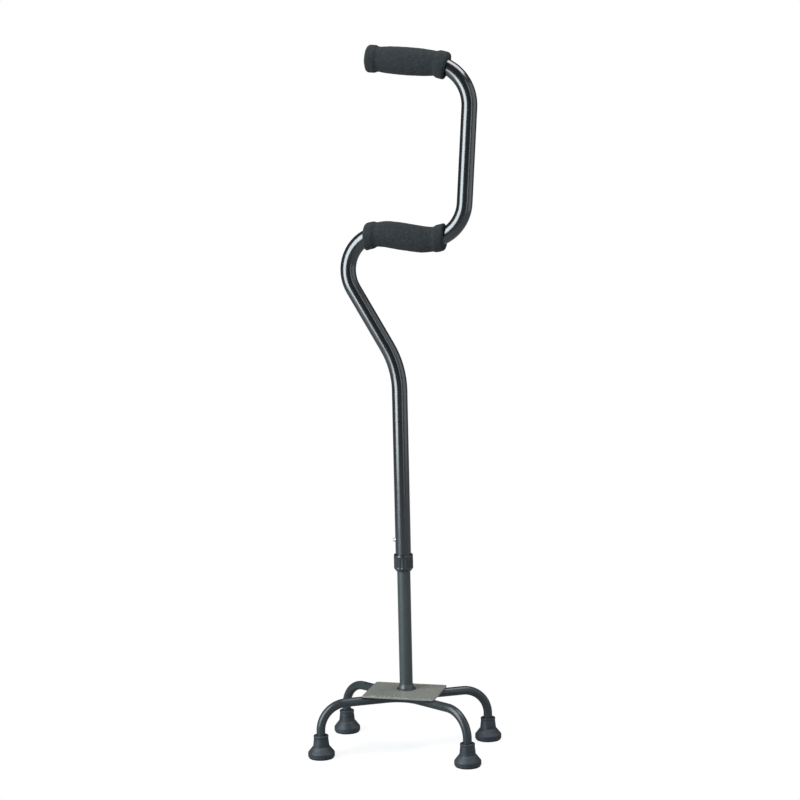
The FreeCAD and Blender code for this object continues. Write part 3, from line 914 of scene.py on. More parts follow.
@dataclass
class HandleRoute:
    """Centreline of the handle tube, from its foot to its free end.

    Attributes:
        tube_radius: The tube's outer radius.
        runs: The lengths of the straight stretches.
        bends: The bends between them.
        lower_grip_run: Which straight stretch the lower grip is on, counted from 1.
        upper_grip_run: Which one the upper grip is on.
    """

    tube_radius: float = 0.0111125
    runs: tuple[float, ...] = (0.25, 0.0945, 0.0406, 0.1323, 0.087)
    bends: tuple[Bend, ...] = (
        Bend(0.125, -30.2),
        Bend(0.053, 132.4),
        Bend(0.056, -98.25),
        Bend(0.059, -89.1),
    )
    lower_grip_run: int = 3
    upper_grip_run: int = 5

    def __post_init__(self) -> None:
        """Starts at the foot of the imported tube, on the stem's axis."""
        axis = middle("lower_tube")
        self.foot = Vector((axis.x, axis.y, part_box("handle_tube")[0].z))

    @staticmethod
    def heading(angle: float) -> Vector:
        """Gives the direction at an angle from straight up towards +X, in radians."""
        return Vector((math.sin(angle), 0.0, math.cos(angle)))

    def length(self, count: int) -> float:
        """Measures the route up to the end of a straight stretch.

        Args:
            count: How many straight stretches are passed.

        Returns:
            The distance along the route.
        """
        arcs = sum(bend.radius * math.radians(abs(bend.turn)) for bend in self.bends[: count - 1])
        return sum(self.runs[:count]) + arcs

    def at(self, distance: float) -> tuple[Vector, Vector]:
        """Finds a place on the route, which goes straight on past its free end.

        Args:
            distance: How far along the route it is.

        Returns:
            The point and the direction there.
        """
        point = self.foot.copy()
        angle = 0.0
        for run, bend in zip(self.runs, self.bends):
            step = min(distance, run)
            point += self.heading(angle) * step
            distance -= step
            arc = bend.radius * math.radians(abs(bend.turn))
            turned = math.radians(bend.turn) * min(distance / arc, 1.0)
            point += self.heading(angle + turned / 2) * (2 * bend.radius * abs(math.sin(turned / 2)))
            angle += turned
            distance -= min(distance, arc)
            if distance <= 0.0:
                return point, self.heading(angle)
        return point + self.heading(angle) * distance, self.heading(angle)


class GripEnd(Enum):
    """What the far end of a foam grip is like."""

    OPEN = "open"
    CLOSED = "closed"


@dataclass
class FoamGrip:
    """A foam sleeve with a ring at each end, which bends part of the way with the tube in it.

    Attributes:
        route: The tube's centreline.
        node: The CAD node that it stands for, and the first part of its own name.
        near: Where the centre of its first ring lies along the route.
        far: Where the centre of its second ring lies along the route.
        end: What its far end is like.
        length: The sleeve's own length.
        ring_inset: How far the centre of its first ring is from its near end.
        ring_radius: The radius of its rings.
        ring_length: The length of a ring.
        ring_edge: The radius that a ring's edges are rounded to.
        closed_edge: The same for the outer edge of a closed end.
        face_inset: How far in the flat of an end starts, as a share of the edge's radius.
        neck_radius: The radius of the dip beside a ring.
        neck_at: How far the dip is from the end.
        neck_round: The radius that the dip is rounded to.
        shoulder_radius: The radius where the body of the sleeve starts.
        shoulder_at: How far that is from the end.
        shoulder_round: The radius that it is rounded to.
        crown_radius: The radius half way along.
        crown_round: The radius that the crown is rounded to.
        bend_share: How much of the tube's bend the sleeve follows.
        tilt_share: How much its ends turn with that bend.
        hole_gap: The gap round the tube where it goes in.
        bore_gap: The gap round the tube further in.
        bore_past_mouth: How far the hole goes on past the tube's free end.
        bore_clear: How far in the hole's even part starts, in radii of the tube.
        bore_steps: How many steps that part is made in.
        halvings: How many times the search for a point of the rim is halved.
        around: How many points there are round the sleeve.
        spacing: The most that two neighbouring points of its outline are apart.
        lump_depth: The depth of the foam's lumps.
        lumps: How many lumps fit in a metre.
        fill: How tight the foam is, from 0, slack, to 1, tight; not used.
    """

    route: HandleRoute
    node: str
    near: float
    far: float
    end: GripEnd
    length: float = 0.1174
    ring_inset: float = 0.006
    ring_radius: float = 0.0193
    ring_length: float = 0.0125
    ring_edge: float = 0.0052
    closed_edge: float = 0.0086
    face_inset: float = 1.02
    neck_radius: float = 0.0173
    neck_at: float = 0.0175
    neck_round: float = 0.006
    shoulder_radius: float = 0.0189
    shoulder_at: float = 0.034
    shoulder_round: float = 0.1
    crown_radius: float = 0.0196
    crown_round: float = 0.3
    bend_share: float = 0.65
    tilt_share: float = 0.75
    hole_gap: float = 0.0006
    bore_gap: float = 0.0002
    bore_past_mouth: float = 0.0024
    bore_clear: float = 2.2
    bore_steps: int = 24
    halvings: int = 30
    around: int = 96
    spacing: float = 0.0016
    lump_depth: float = 0.0003
    lumps: float = 160.0
    fill: float = 0.9

    def __post_init__(self) -> None:
        """Works out the straight line that the sleeve starts from."""
        first = self.route.at(self.near)[0]
        last = self.route.at(self.far)[0]
        self.along = (last - first).normalized()
        self.start = first - self.along * self.ring_inset
        self.stretch = (self.far - self.near) / (last - first).length

    def distance(self, share: float) -> float:
        """Gives the distance along the route beside a distance along the sleeve."""
        return self.near + (share - self.ring_inset) * self.stretch

    def centre(self, share: float) -> Vector:
        """Finds the sleeve's own centreline, between its straight line and the tube.

        Args:
            share: The distance from the sleeve's near end.

        Returns:
            The point on the centreline.
        """
        straight = self.start + self.along * share
        return straight.lerp(self.route.at(self.distance(share))[0], self.bend_share)

    def section(self, share: float) -> tuple[Vector, Vector, Vector]:
        """Gives the sleeve's centre, direction and side direction.

        Args:
            share: The distance from the sleeve's near end.

        Returns:
            The centre, the direction along it, and the direction that is square to it and to Y.
        """
        nudge = 0.0005
        bent = (self.centre(share + nudge) - self.centre(share - nudge)).normalized()
        direction = self.along.lerp(bent, self.tilt_share).normalized()
        return self.centre(share), direction, ACROSS.cross(direction)

    def ring(self, share: float, radius: float) -> list[Vector]:
        """Makes one ring of the outer skin.

        Args:
            share: The distance from the sleeve's near end.
            radius: The ring's radius.

        Returns:
            The ring's points.
        """
        centre, _, side = self.section(share)
        return [centre + (side * across + ACROSS * away) * radius for across, away in circle(self.around)]

    def bore_point(self, distance: float, spoke: tuple[float, float], radius: float) -> Vector:
        """Gives a point on a pipe about the tube's centreline.

        Args:
            distance: The distance along the route.
            spoke: The cosine and sine of the point's angle about it.
            radius: The pipe's radius.

        Returns:
            The point.
        """
        point, direction = self.route.at(distance)
        return point + (ACROSS.cross(direction) * spoke[0] + ACROSS * spoke[1]) * radius

    def mouth(self, share: float, radius: float) -> list[Vector]:
        """Cuts a pipe about the tube with the plane across the sleeve's end.

        Args:
            share: Where the plane is along the sleeve.
            radius: The pipe's radius.

        Returns:
            The ring of points where they meet.
        """
        centre, direction, _ = self.section(share)
        points = []
        for spoke in circle(self.around):
            low = self.distance(share) - 2 * radius
            high = self.distance(share) + 2 * radius
            for _ in range(self.halvings):
                guess = (low + high) / 2
                if (self.bore_point(guess, spoke, radius) - centre).dot(direction) < 0:
                    low = guess
                else:
                    high = guess
            points.append(self.bore_point((low + high) / 2, spoke, radius))
        return points

    def outline(self) -> list[Vector]:
        """Draws the outer skin from the near end to the far one.

        Returns:
            Points with the radius first and the distance along the sleeve second.
        """
        far_edge = self.closed_edge if self.end is GripEnd.CLOSED else self.ring_edge
        inner = self.ring_radius - self.face_inset * self.ring_edge
        corners = [
            Corner(inner, 0.0),
            Corner(self.ring_radius, 0.0, self.ring_edge),
            Corner(self.ring_radius, self.ring_length, self.ring_edge),
            Corner(self.neck_radius, self.neck_at, self.neck_round),
            Corner(self.shoulder_radius, self.shoulder_at, self.shoulder_round),
            Corner(self.crown_radius, self.length / 2, self.crown_round),
            Corner(self.shoulder_radius, self.length - self.shoulder_at, self.shoulder_round),
            Corner(self.neck_radius, self.length - self.neck_at, self.neck_round),
            Corner(self.ring_radius, self.length - self.ring_length, self.ring_edge),
            Corner(self.ring_radius, self.length, far_edge),
            Corner(self.ring_radius - self.face_inset * far_edge, self.length),
        ]
        return rounded(corners, self.spacing)

    def bore(self, first: float, last: float) -> list[list[Vector]]:
        """Makes the rings of the hole that the tube lies in, from its far end to its near one.

        Args:
            first: Where it starts along the route, at the far end.
            last: Where it ends, at the near end.

        Returns:
            The rings.
        """
        radius = self.route.tube_radius + self.bore_gap
        places = [first + (last - first) * step / self.bore_steps for step in range(self.bore_steps + 1)]
        return [[self.bore_point(place, spoke, radius) for spoke in circle(self.around)] for place in places]

    def build(self) -> list[str]:
        """Makes the sleeve and hides the plain CAD solid that it stands for.

        Returns:
            The new piece's name.
        """
        skin = Skin()
        outer = [self.ring(point.y, point.x) for point in self.outline()]
        wide = self.route.tube_radius + self.hole_gap
        clear = self.bore_clear * self.route.tube_radius
        near_mouth = self.mouth(0.0, wide)
        deepest = self.distance(0.0) + clear
        if self.end is GripEnd.CLOSED:
            inner_end = self.route.length(self.route.upper_grip_run) + self.bore_past_mouth
            cap = self.ring(self.length, (self.ring_radius - self.closed_edge) / 2)
            tail = self.bore(inner_end, deepest)
            skin_rings = [cap, *reversed(outer), near_mouth, *reversed(tail)]
            skin.loft(skin_rings, self.section(self.length)[0], self.route.at(inner_end)[0])
        else:
            far_mouth = self.mouth(self.length, wide)
            tail = self.bore(self.distance(self.length) - clear, deepest)
            skin.loft([near_mouth, *outer, far_mouth, *tail])
        skin.roughen(self.lump_depth, self.lumps)
        made = skin.piece(f"{self.node}_foam", Body.HANDLE, Slot.FOAM, FOAM)
        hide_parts(self.node)
        return [made.name]


@dataclass
class Handle:
    """The bent handle tube with its two foam grips and what is inside it.

    Attributes:
        grip_length: The length of a grip.
        ring_inset: How far a ring's centre is from the end of its grip.
        end_thickness: The thickness of the foam over the tube's free end.
        lower_tilt_share: How much the lower grip's ends turn with the tube.
        open_end_cut: How much shorter each grip is at the end nearer the mast.
        route: The tube's centreline.
    """

    grip_length: float = 0.1174
    ring_inset: float = 0.006
    end_thickness: float = 0.005
    lower_tilt_share: float = 0.1
    open_end_cut: float = 0.0012
    route: HandleRoute = field(default_factory=HandleRoute)

    def build(self) -> list[str]:
        """Dresses the tube and makes both grips.

        Returns:
            The names of the pieces.
        """
        pieces = [dress("handle_tube", ENAMEL), dress("handle_end_plug", INNER_PLASTIC)]
        lower_run = self.route.lower_grip_run
        lower_middle = self.route.length(lower_run) - self.route.runs[lower_run - 1] / 2
        reach = self.grip_length / 2 - self.ring_inset
        lower = FoamGrip(
            self.route,
            "lower_grip",
            lower_middle - reach,
            lower_middle + reach,
            GripEnd.OPEN,
            length=self.grip_length - self.open_end_cut,
            tilt_share=self.lower_tilt_share,
        )
        mouth = self.route.length(self.route.upper_grip_run)
        upper_near = mouth - (self.grip_length - self.end_thickness) + self.ring_inset
        upper = FoamGrip(
            self.route,
            "upper_grip",
            upper_near,
            mouth,
            GripEnd.CLOSED,
            length=self.grip_length - self.open_end_cut,
            ring_inset=self.ring_inset - self.open_end_cut,
        )
        return pieces + lower.build() + upper.build()


# ---------------------------------------------------------------- telescope
@dataclass
class LockingCollar:
    """The ribbed nut that locks the two tubes.

    Attributes:
        ribs: How many grip ribs it has.
        rib_height: How far they stand out.
        rib_start: How far above the taper they start.
        rib_stop: How far below the rim they stop.
        rib_fade: The length in which their ends fade out.
        rib_width: The power that shapes them, where less makes them narrower.
        rim_height: The height of the bevelled rim above them.
        taper_height: The height of the tapered foot below them.
        rim_wall: The wall at the top of the rim.
        rim_step: The least that the top of the rim is inside the outer wall.
        foot_wall: The wall at the bottom of the foot.
        sleeve_gap: The gap between its bore and the threaded sleeve.
        tube_gap: The gap between its floor and the lower tube.
        floor_height: The thickness of its floor.
        wall_skin: How far inside the outer wall a point still counts as part of it.
        per_rib: How many points each rib has round the nut.
        spacing: The most that two neighbouring points of its outline are apart.
    """

    ribs: int = 18
    rib_height: float = 0.0009
    rib_start: float = 0.0006
    rib_stop: float = 0.0008
    rib_fade: float = 0.0012
    rib_width: float = 0.6
    rim_height: float = 0.0026
    taper_height: float = 0.0042
    rim_wall: float = 0.0012
    rim_step: float = 0.0003
    foot_wall: float = 0.00095
    sleeve_gap: float = 0.0002
    tube_gap: float = 0.0003
    floor_height: float = 0.00345
    wall_skin: float = 0.0001
    per_rib: int = 14
    spacing: float = 0.0006

    def outline(self) -> list[Vector]:
        """Draws the nut from inside its rim, over the outside, to inside its foot.

        Returns:
            Points with the distance from the axis first and the height second.
        """
        low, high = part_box("locking_collar")
        outer = (high.x - low.x) / 2
        tube_low, tube_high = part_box("lower_tube")
        sleeve_low, sleeve_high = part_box("collet_sleeve")
        foot_bore = (tube_high.x - tube_low.x) / 2 + self.tube_gap
        rim_bore = (sleeve_high.x - sleeve_low.x) / 2 + self.sleeve_gap
        floor_top = low.z + self.floor_height
        corners = [
            Corner(rim_bore, floor_top),
            Corner(rim_bore, high.z, 0.0002),
            Corner(min(rim_bore + self.rim_wall, outer - self.rim_step), high.z, 0.0004),
            Corner(outer, high.z - self.rim_height, 0.0005),
            Corner(outer, low.z + self.taper_height, 0.0008),
            Corner(foot_bore + self.foot_wall, low.z, 0.0004),
            Corner(foot_bore, low.z, 0.0002),
            Corner(foot_bore, floor_top),
        ]
        return rounded(corners, self.spacing)

    def build(self) -> list[str]:
        """Makes the nut with its ribs.

        Returns:
            The new piece's name.
        """
        low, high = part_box("locking_collar")
        axis = (low + high) / 2
        ribs_low = low.z + self.taper_height + self.rib_start
        ribs_high = high.z - self.rim_height - self.rib_stop
        outer = (high.x - low.x) / 2
        rings = []
        for ring in turn(self.outline(), axis, self.ribs * self.per_rib):
            rings.append([self._ribbed(point, axis, ribs_low, ribs_high, outer) for point in ring])
        skin = Skin()
        skin.loft(rings)
        made = skin.piece("locking_collar_ribbed", Body.COLLAR, Slot.PLASTIC, COLLAR_PLASTIC)
        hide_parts("locking_collar")
        return [made.name]

    def _ribbed(self, point: Vector, axis: Vector, low: float, high: float, outer: float) -> Vector:
        """Sinks the outer wall between two ribs.

        Args:
            point: A point of the plain nut.
            axis: A point on its axis.
            low: Where the ribs start.
            high: Where they end.
            outer: The nut's outer radius.

        Returns:
            The point where it lies on the ribbed nut.
        """
        spoke = Vector((point.x - axis.x, point.y - axis.y, 0.0))
        if spoke.length < outer - self.wall_skin:
            return point
        lower_fade = min(max((point.z - low) / self.rib_fade, 0.0), 1.0)
        upper_fade = min(max((high - point.z) / self.rib_fade, 0.0), 1.0)
        angle = math.atan2(spoke.y, spoke.x)
        wave = 0.5 - 0.5 * math.cos(self.ribs * angle)
        sink = self.rib_height * (lower_fade * upper_fade) * wave**self.rib_width
        return point - spoke.normalized() * sink


@dataclass
class LeafSpring:
    """The V-shaped leaf behind the snap button.

    Attributes:
        thickness: The thickness of the strip.
        edge: The radius of its rounded edges.
        bend_radius: The radius of the strip's middle line in the bend.
        corner_rise: How far the corner of the V lies above the button's axis.
        spare: The room that is left behind the button when it is all the way in; not used.
        spacing: The most that two neighbouring sections are apart.
    """

    thickness: float = 0.0005
    edge: float = 0.00012
    bend_radius: float = 0.0016
    corner_rise: float = 0.026
    spare: float = 0.0001
    spacing: float = 0.001

    def section(self, width: float) -> list[tuple[float, float]]:
        """Draws the strip's cross-section with rounded edges.

        Args:
            width: The strip's width.

        Returns:
            One pair for each point, with the distance through the strip first and across it second.
        """
        flat = self.thickness / 2 - self.edge
        wide = width / 2 - self.edge
        spots = []
        for quarter, (through, across) in enumerate(((1, 1), (-1, 1), (-1, -1), (1, -1))):
            for step in range(4):
                angle = math.radians(90 * quarter + 30 * step)
                thick = through * flat + self.edge * math.cos(angle)
                spots.append((thick, across * wide + self.edge * math.sin(angle)))
        return spots

    def build(self) -> list[str]:
        """Makes the leaf to the size of the CAD spring's box.

        Returns:
            The new piece's name.
        """
        low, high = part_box("button_spring")
        half = self.thickness / 2
        corners = [
            Corner(low.x + half, low.z),
            Corner(low.x + half, middle("snap_button").z + self.corner_rise, self.bend_radius),
            Corner(high.x - half, low.z),
        ]
        line = rounded(corners, self.spacing)
        level = (low.y + high.y) / 2
        spots = self.section(high.y - low.y)
        rings = []
        for index, point in enumerate(line):
            ahead = (line[min(index + 1, len(line) - 1)] - line[max(index - 1, 0)]).normalized()
            rings.append(
                [
                    Vector((point.x + ahead.y * through, level + across, point.y - ahead.x * through))
                    for through, across in spots
                ]
            )
        skin = Skin()
        ends = [Vector((point.x, level, point.y)) for point in (line[0], line[-1])]
        skin.loft(rings, ends[0], ends[1])
        made = skin.piece("button_spring_leaf", Body.BASE, Slot.SPRING, SPRING_STEEL)
        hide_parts("button_spring")
        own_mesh(made)
        return [made.name]


@dataclass
class Telescope:
    """The lower tube, its lock and its snap button.

    Attributes:
        collar: The nut that locks the two tubes.
        spring: The leaf behind the button.
    """

    collar: LockingCollar = field(default_factory=LockingCollar)
    spring: LeafSpring = field(default_factory=LeafSpring)

    def build(self) -> list[str]:
        """Dresses the tubes and the small parts, and makes the collar.

        Returns:
            The names of the pieces.
        """
        pieces = [
            dress("lower_tube", TUBE_PAINT),
            dress("collet_sleeve", INNER_PLASTIC),
            dress("clamp_ring", NYLON),
            dress("inner_guide_bush", NYLON),
            dress("snap_button", BUTTON_STEEL),
        ]
        return pieces + self.collar.build() + self.spring.build()


# ---------------------------------------------------------------- base
@dataclass
class RippledBead:
    """A weld bead laid in a row of small overlapping scales.

    Attributes:
        pitch: The length of one scale.
        ripple: How far a scale stands above the next, as a share of the bead's radius.
        around: How many points there are across the bead.
        spacing: The length of one step along it.
        scale_steps: How many steps a scale of a round bead is made in.
        unevenness: How much its thickness wanders, as a share of its radius.
        wander: How many times it wanders in a metre.
    """

    pitch: float = 0.0017
    ripple: float = 0.16
    around: int = 14
    spacing: float = 0.0004
    scale_steps: int = 5
    unevenness: float = 0.05
    wander: float = 300.0

    def thickness(self, distance: float) -> float:
        """Gives the bead's thickness at a place along it.

        Args:
            distance: The distance along the bead.

        Returns:
            The thickness, as a share of the bead's radius.
        """
        scale = (distance / self.pitch) % 1.0
        uneven = self.unevenness * noise.noise(Vector((distance * self.wander, 0.0, 0.0)))
        return 1.0 - self.ripple * scale + uneven

    def circular(self, centre: Vector, ring_radius: float, radius: float) -> Skin:
        """Lays a bead in a full circle.

        Args:
            centre: The circle's centre.
            ring_radius: The circle's radius.
            radius: The bead's radius.

        Returns:
            The bead's skin.
        """
        scales = round(math.tau * ring_radius / self.pitch)
        steps = scales * self.scale_steps
        rings = []
        for across, away in circle(steps):
            outward = Vector((across, away, 0.0))
            distance = (len(rings) / steps) * scales * self.pitch
            thick = radius * self.thickness(distance)
            middle_point = centre + outward * ring_radius
            rings.append([middle_point + (outward * x + UP * z) * thick for x, z in circle(self.around)])
        skin = Skin()
        skin.loft(rings)
        return skin

    def straight(self, skin: Skin, start: Vector, end: Vector, radius: float) -> None:
        """Adds a straight bead with rounded ends to a skin.

        Args:
            skin: The skin that it is added to.
            start: Where it starts.
            end: Where it ends.
            radius: The bead's radius.
        """
        along = (end - start).normalized()
        side = along.cross(UP)
        length = (end - start).length
        steps = math.ceil(length / self.spacing)
        rings = []
        for step in range(1, steps):
            distance = length * step / steps
            from_end = min(distance, length - distance)
            taper = math.sqrt(min(from_end / radius, 1.0) * (2 - min(from_end / radius, 1.0)))
            thick = radius * taper * self.thickness(distance)
            centre = start + along * distance
            rings.append([centre + (side * x + UP * z) * thick for x, z in circle(self.around)])
        skin.loft(rings, start, end)


# A drop of spatter, in shares of its radius: each ring's radius and height, and where it is closed.
DROP_RINGS = ((1.0, -0.1), (0.95, 0.25), (0.6, 0.55))
DROP_BOTTOM = -0.1
DROP_TOP = 0.62
DROP_AROUND = 10


@dataclass
class Base:
    """The plate with its legs, its ferrule and its welds.

    Attributes:
        bead: How its weld beads are laid.
        stem_bead_radius: The radius of the bead round the ferrule.
        stem_bead_outset: How far outside the ferrule that bead's centre is, as a share of its radius.
        stem_bead_rise: How far above the plate it is, as a share of its radius.
        leg_bead_radius: The radius of a bead beside a leg.
        spatter_count: How many drops of weld spatter lie on the plate.
        spatter_radius: The radius of the largest drop.
        spatter_sizes: The least and the most of a loose drop's size, as shares of that radius.
        spatter_margin: How far the loose drops keep from the plate's edges.
        spatter_crowding: The power that crowds them towards the front edge.
        stem_clearance: How far they keep from the stem's axis.
        edge_drops: How many drops lie in a row along the front edge.
        edge_sizes: The same two sizes for the drops of the row.
        edge_margin: How far the row is from the edge.
        edge_scatter: How many times as far as that the furthest drop of the row may be.
        edge_start: Where the row starts, as a share of the plate's length.
        edge_end: Where it ends.
        seed: The seed of the drops' places.
    """

    bead: RippledBead = field(default_factory=RippledBead)
    stem_bead_radius: float = 0.0015
    stem_bead_outset: float = 0.25
    stem_bead_rise: float = 0.3
    leg_bead_radius: float = 0.0016
    spatter_count: int = 34
    spatter_radius: float = 0.0009
    spatter_sizes: tuple[float, float] = (0.3, 0.8)
    spatter_margin: float = 0.004
    spatter_crowding: float = 2.2
    stem_clearance: float = 0.018
    edge_drops: int = 24
    edge_sizes: tuple[float, float] = (0.6, 1.0)
    edge_margin: float = 0.0009
    edge_scatter: float = 1.6
    edge_start: float = 0.12
    edge_end: float = 0.72
    seed: int = 7

    def build(self) -> list[str]:
        """Dresses the base's CAD parts and makes its beads and spatter.

        Returns:
            The names of the pieces.
        """
        pieces = [
            dress("base_plate", PLATE_COAT),
            dress("stem_ferrule", TUBE_PAINT),
            dress("stem_spigot", PLAIN_STEEL),
            dress("front_leg_tube", LEG_PAINT),
            dress("rear_leg_tube", LEG_PAINT),
        ]
        return pieces + [self.stem_bead(), self.leg_beads(), self.spatter()]

    def stem_bead(self) -> str:
        """Makes the bead round the ferrule.

        Returns:
            The piece's name.
        """
        low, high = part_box("stem_weld")
        ferrule_low, ferrule_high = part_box("stem_ferrule")
        ring_radius = (ferrule_high.x - ferrule_low.x) / 2 + self.stem_bead_outset * self.stem_bead_radius
        height = low.z + self.stem_bead_rise * self.stem_bead_radius
        centre = Vector(((low.x + high.x) / 2, (low.y + high.y) / 2, height))
        made = self.bead.circular(centre, ring_radius, self.stem_bead_radius).piece(
            "stem_bead", Body.BASE, Slot.WELD, WELD_PAINT
        )
        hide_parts("stem_weld")
        return made.name

    def leg_beads(self) -> str:
        """Makes a bead where each of the CAD's plain ones lies.

        Returns:
            The piece's name.
        """
        skin = Skin()
        for start, end in self._runs("leg_welds"):
            self.bead.straight(skin, start, end, self.leg_bead_radius)
        made = skin.piece("leg_beads", Body.BASE, Slot.WELD, WELD_PAINT)
        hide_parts("leg_welds")
        return made.name

    @staticmethod
    def _runs(node: str) -> list[tuple[Vector, Vector]]:
        """Finds the two ends of each separate solid of a CAD node.

        Args:
            node: The node's name.

        Returns:
            One pair of points for each solid.
        """
        points = bmesh.new()
        points.from_mesh(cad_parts[node].data)
        bmesh.ops.remove_doubles(points, verts=points.verts, dist=NO_LENGTH)
        left = set(points.verts)
        runs = []
        while left:
            island = {min(left, key=lambda vert: tuple(vert.co))}
            edge = set(island)
            while edge:
                edge = {e.other_vert(vert) for vert in edge for e in vert.link_edges} - island
                island |= edge
            left -= island
            spots = sorted((vert.co.copy() for vert in island), key=tuple)
            first = max(spots, key=lambda spot: (spot - spots[0]).length)
            along = (first - max(spots, key=lambda spot: (spot - first).length)).normalized()
            reaches = [spot.dot(along) for spot in spots]
            low, high = min(reaches), max(reaches)
            end_zone = 0.25 * (high - low)
            ends = []
            for reach in (low, high):
                near = [spot for spot, value in zip(spots, reaches) if abs(value - reach) < end_zone]
                ends.append(sum(near, Vector()) / len(near))
            runs.append((ends[0], ends[1]))
        points.free()
        return runs

    def spatter(self) -> str:
        """Makes the drops of weld spatter, mostly along the plate's front edge.

        Returns:
            The piece's name.
        """
        chance = random.Random(self.seed)
        low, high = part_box("base_plate")
        stem = middle("stem_ferrule")
        span = high - low
        spots = []
        for _ in range(self.edge_drops):
            x = low.x + span.x * chance.uniform(self.edge_start, self.edge_end)
            y = low.y + self.edge_margin * chance.uniform(1.0, self.edge_scatter)
            spots.append((x, y, chance.uniform(*self.edge_sizes)))
        while len(spots) < self.edge_drops + self.spatter_count:
            x = chance.uniform(low.x + self.spatter_margin, high.x - self.spatter_margin)
            inward = chance.random() ** self.spatter_crowding
            y = low.y + self.spatter_margin + inward * (span.y - 2 * self.spatter_margin)
            if math.hypot(x - stem.x, y - stem.y) > self.stem_clearance:
                spots.append((x, y, chance.uniform(*self.spatter_sizes)))
        skin = Skin()
        for x, y, size in spots:
            self._drop(skin, Vector((x, y, high.z)), self.spatter_radius * size)
        return skin.piece("plate_spatter", Body.BASE, Slot.WELD, PLAIN_STEEL).name

    @staticmethod
    def _drop(skin: Skin, spot: Vector, radius: float) -> None:
        """Adds one flattened drop to a skin.

        Args:
            skin: The skin that it is added to.
            spot: The point of the plate that it lies on.
            radius: Its radius.
        """
        spokes = circle(DROP_AROUND)
        rings = [
            [spot + Vector((across * wide, away * wide, tall)) * radius for across, away in spokes]
            for wide, tall in DROP_RINGS
        ]
        skin.loft(rings, spot + UP * DROP_BOTTOM * radius, spot + UP * DROP_TOP * radius)


@dataclass
class RubberTip:
    """A rubber ferrule: a flange, a cone and a neck with a rolled lip round the leg.

    Attributes:
        node: The CAD node that it stands for.
        leg_radius: The radius of the leg in it.
        neck_radius: The radius of its neck, at the cone.
        lip_radius: The radius of its lip.
        lip_height: The height of the lip.
        lip_undercut: How far the neck is drawn in under the lip.
        flange_height: The height of the flange's top edge above the floor.
        cone_height: The height of the cone on the flange.
        floor: The height of the bore's floor.
        mouth_gap: The gap round the leg at the top of the bore.
        mouth_depth: How deep that gap is.
        step_height: The height of the small steps under the lip and in the bore.
        chamfer: How far the sole is inside the flange.
        chamfer_height: How high the flange's slanting lower edge goes.
        sole_start: The radius of the flat middle that the sole is drawn from.
        groove_pitch: The distance between two grooves of the sole.
        groove_width: The width of a groove.
        groove_depth: The depth of a groove.
        grooves: How many grooves there are.
        crease: How far the crease between the cone and the neck goes out and up.
        around: How many points there are round the tip.
        spacing: The most that two neighbouring points of its outline are apart.
    """

    node: str
    leg_radius: float = 0.00635
    neck_radius: float = 0.0122
    lip_radius: float = 0.01075
    lip_height: float = 0.0032
    lip_undercut: float = 0.0004
    flange_height: float = 0.008
    cone_height: float = 0.0085
    floor: float = 0.006
    mouth_gap: float = 0.0007
    mouth_depth: float = 0.003
    step_height: float = 0.0006
    chamfer: float = 0.0015
    chamfer_height: float = 0.0028
    sole_start: float = 0.0008
    groove_pitch: float = 0.0046
    groove_width: float = 0.0016
    groove_depth: float = 0.0012
    grooves: int = 3
    crease: float = 0.0004
    around: int = 96
    spacing: float = 0.0012

    def sole(self) -> list[Corner]:
        """Draws the grooved sole from near its middle outwards.

        Returns:
            The sole's corners.
        """
        corners = [Corner(self.sole_start, 0.0)]
        for index in range(self.grooves):
            inner = self.groove_pitch * (index + 1) - self.groove_width / 2
            outer = inner + self.groove_width
            corners += [
                Corner(inner, 0.0, 0.0002),
                Corner(inner, self.groove_depth, 0.0003),
                Corner(outer, self.groove_depth, 0.0003),
                Corner(outer, 0.0, 0.0002),
            ]
        return corners

    def outline(self) -> list[Vector]:
        """Draws the whole tip, from the middle of its sole to the bottom of its bore.

        Returns:
            Points with the distance from the axis first and the height second.
        """
        low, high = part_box(self.node)
        flange = (high.x - low.x) / 2
        cone_top = self.flange_height + self.cone_height
        under_lip = high.z - self.lip_height
        waist = self.lip_radius - self.lip_undercut
        mouth = self.leg_radius + self.mouth_gap
        corners = self.sole() + [
            Corner(flange - self.chamfer, 0.0, 0.0007),
            Corner(flange, self.chamfer_height, 0.0005),
            Corner(flange, self.flange_height, 0.0007),
            Corner(self.neck_radius + self.crease, cone_top, 0.0006),
            Corner(self.neck_radius - self.crease, cone_top + self.crease, 0.0003),
            Corner(waist, under_lip, 0.0005),
            Corner(self.lip_radius, under_lip + self.step_height, 0.0005),
            Corner(self.lip_radius, high.z, 0.0009),
            Corner(mouth, high.z, 0.0005),
            Corner(mouth, high.z - self.mouth_depth, 0.0003),
            Corner(self.leg_radius, high.z - self.mouth_depth - self.step_height, 0.0002),
            Corner(self.leg_radius, self.floor),
        ]
        return rounded(corners, self.spacing)

    def build(self) -> list[str]:
        """Makes the tip and dresses the washer in it.

        Returns:
            The names of the pieces.
        """
        axis = middle(self.node)
        skin = Skin()
        ends = Vector((axis.x, axis.y, 0.0)), Vector((axis.x, axis.y, self.floor))
        skin.loft(turn(self.outline(), axis, self.around), *ends)
        made = skin.piece(f"{self.node}_moulded", Body.BASE, Slot.RUBBER, TIP_RUBBER)
        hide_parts(self.node)
        return [made.name, dress(self.node.replace("tip_", "tip_washer_"), PLAIN_STEEL)]


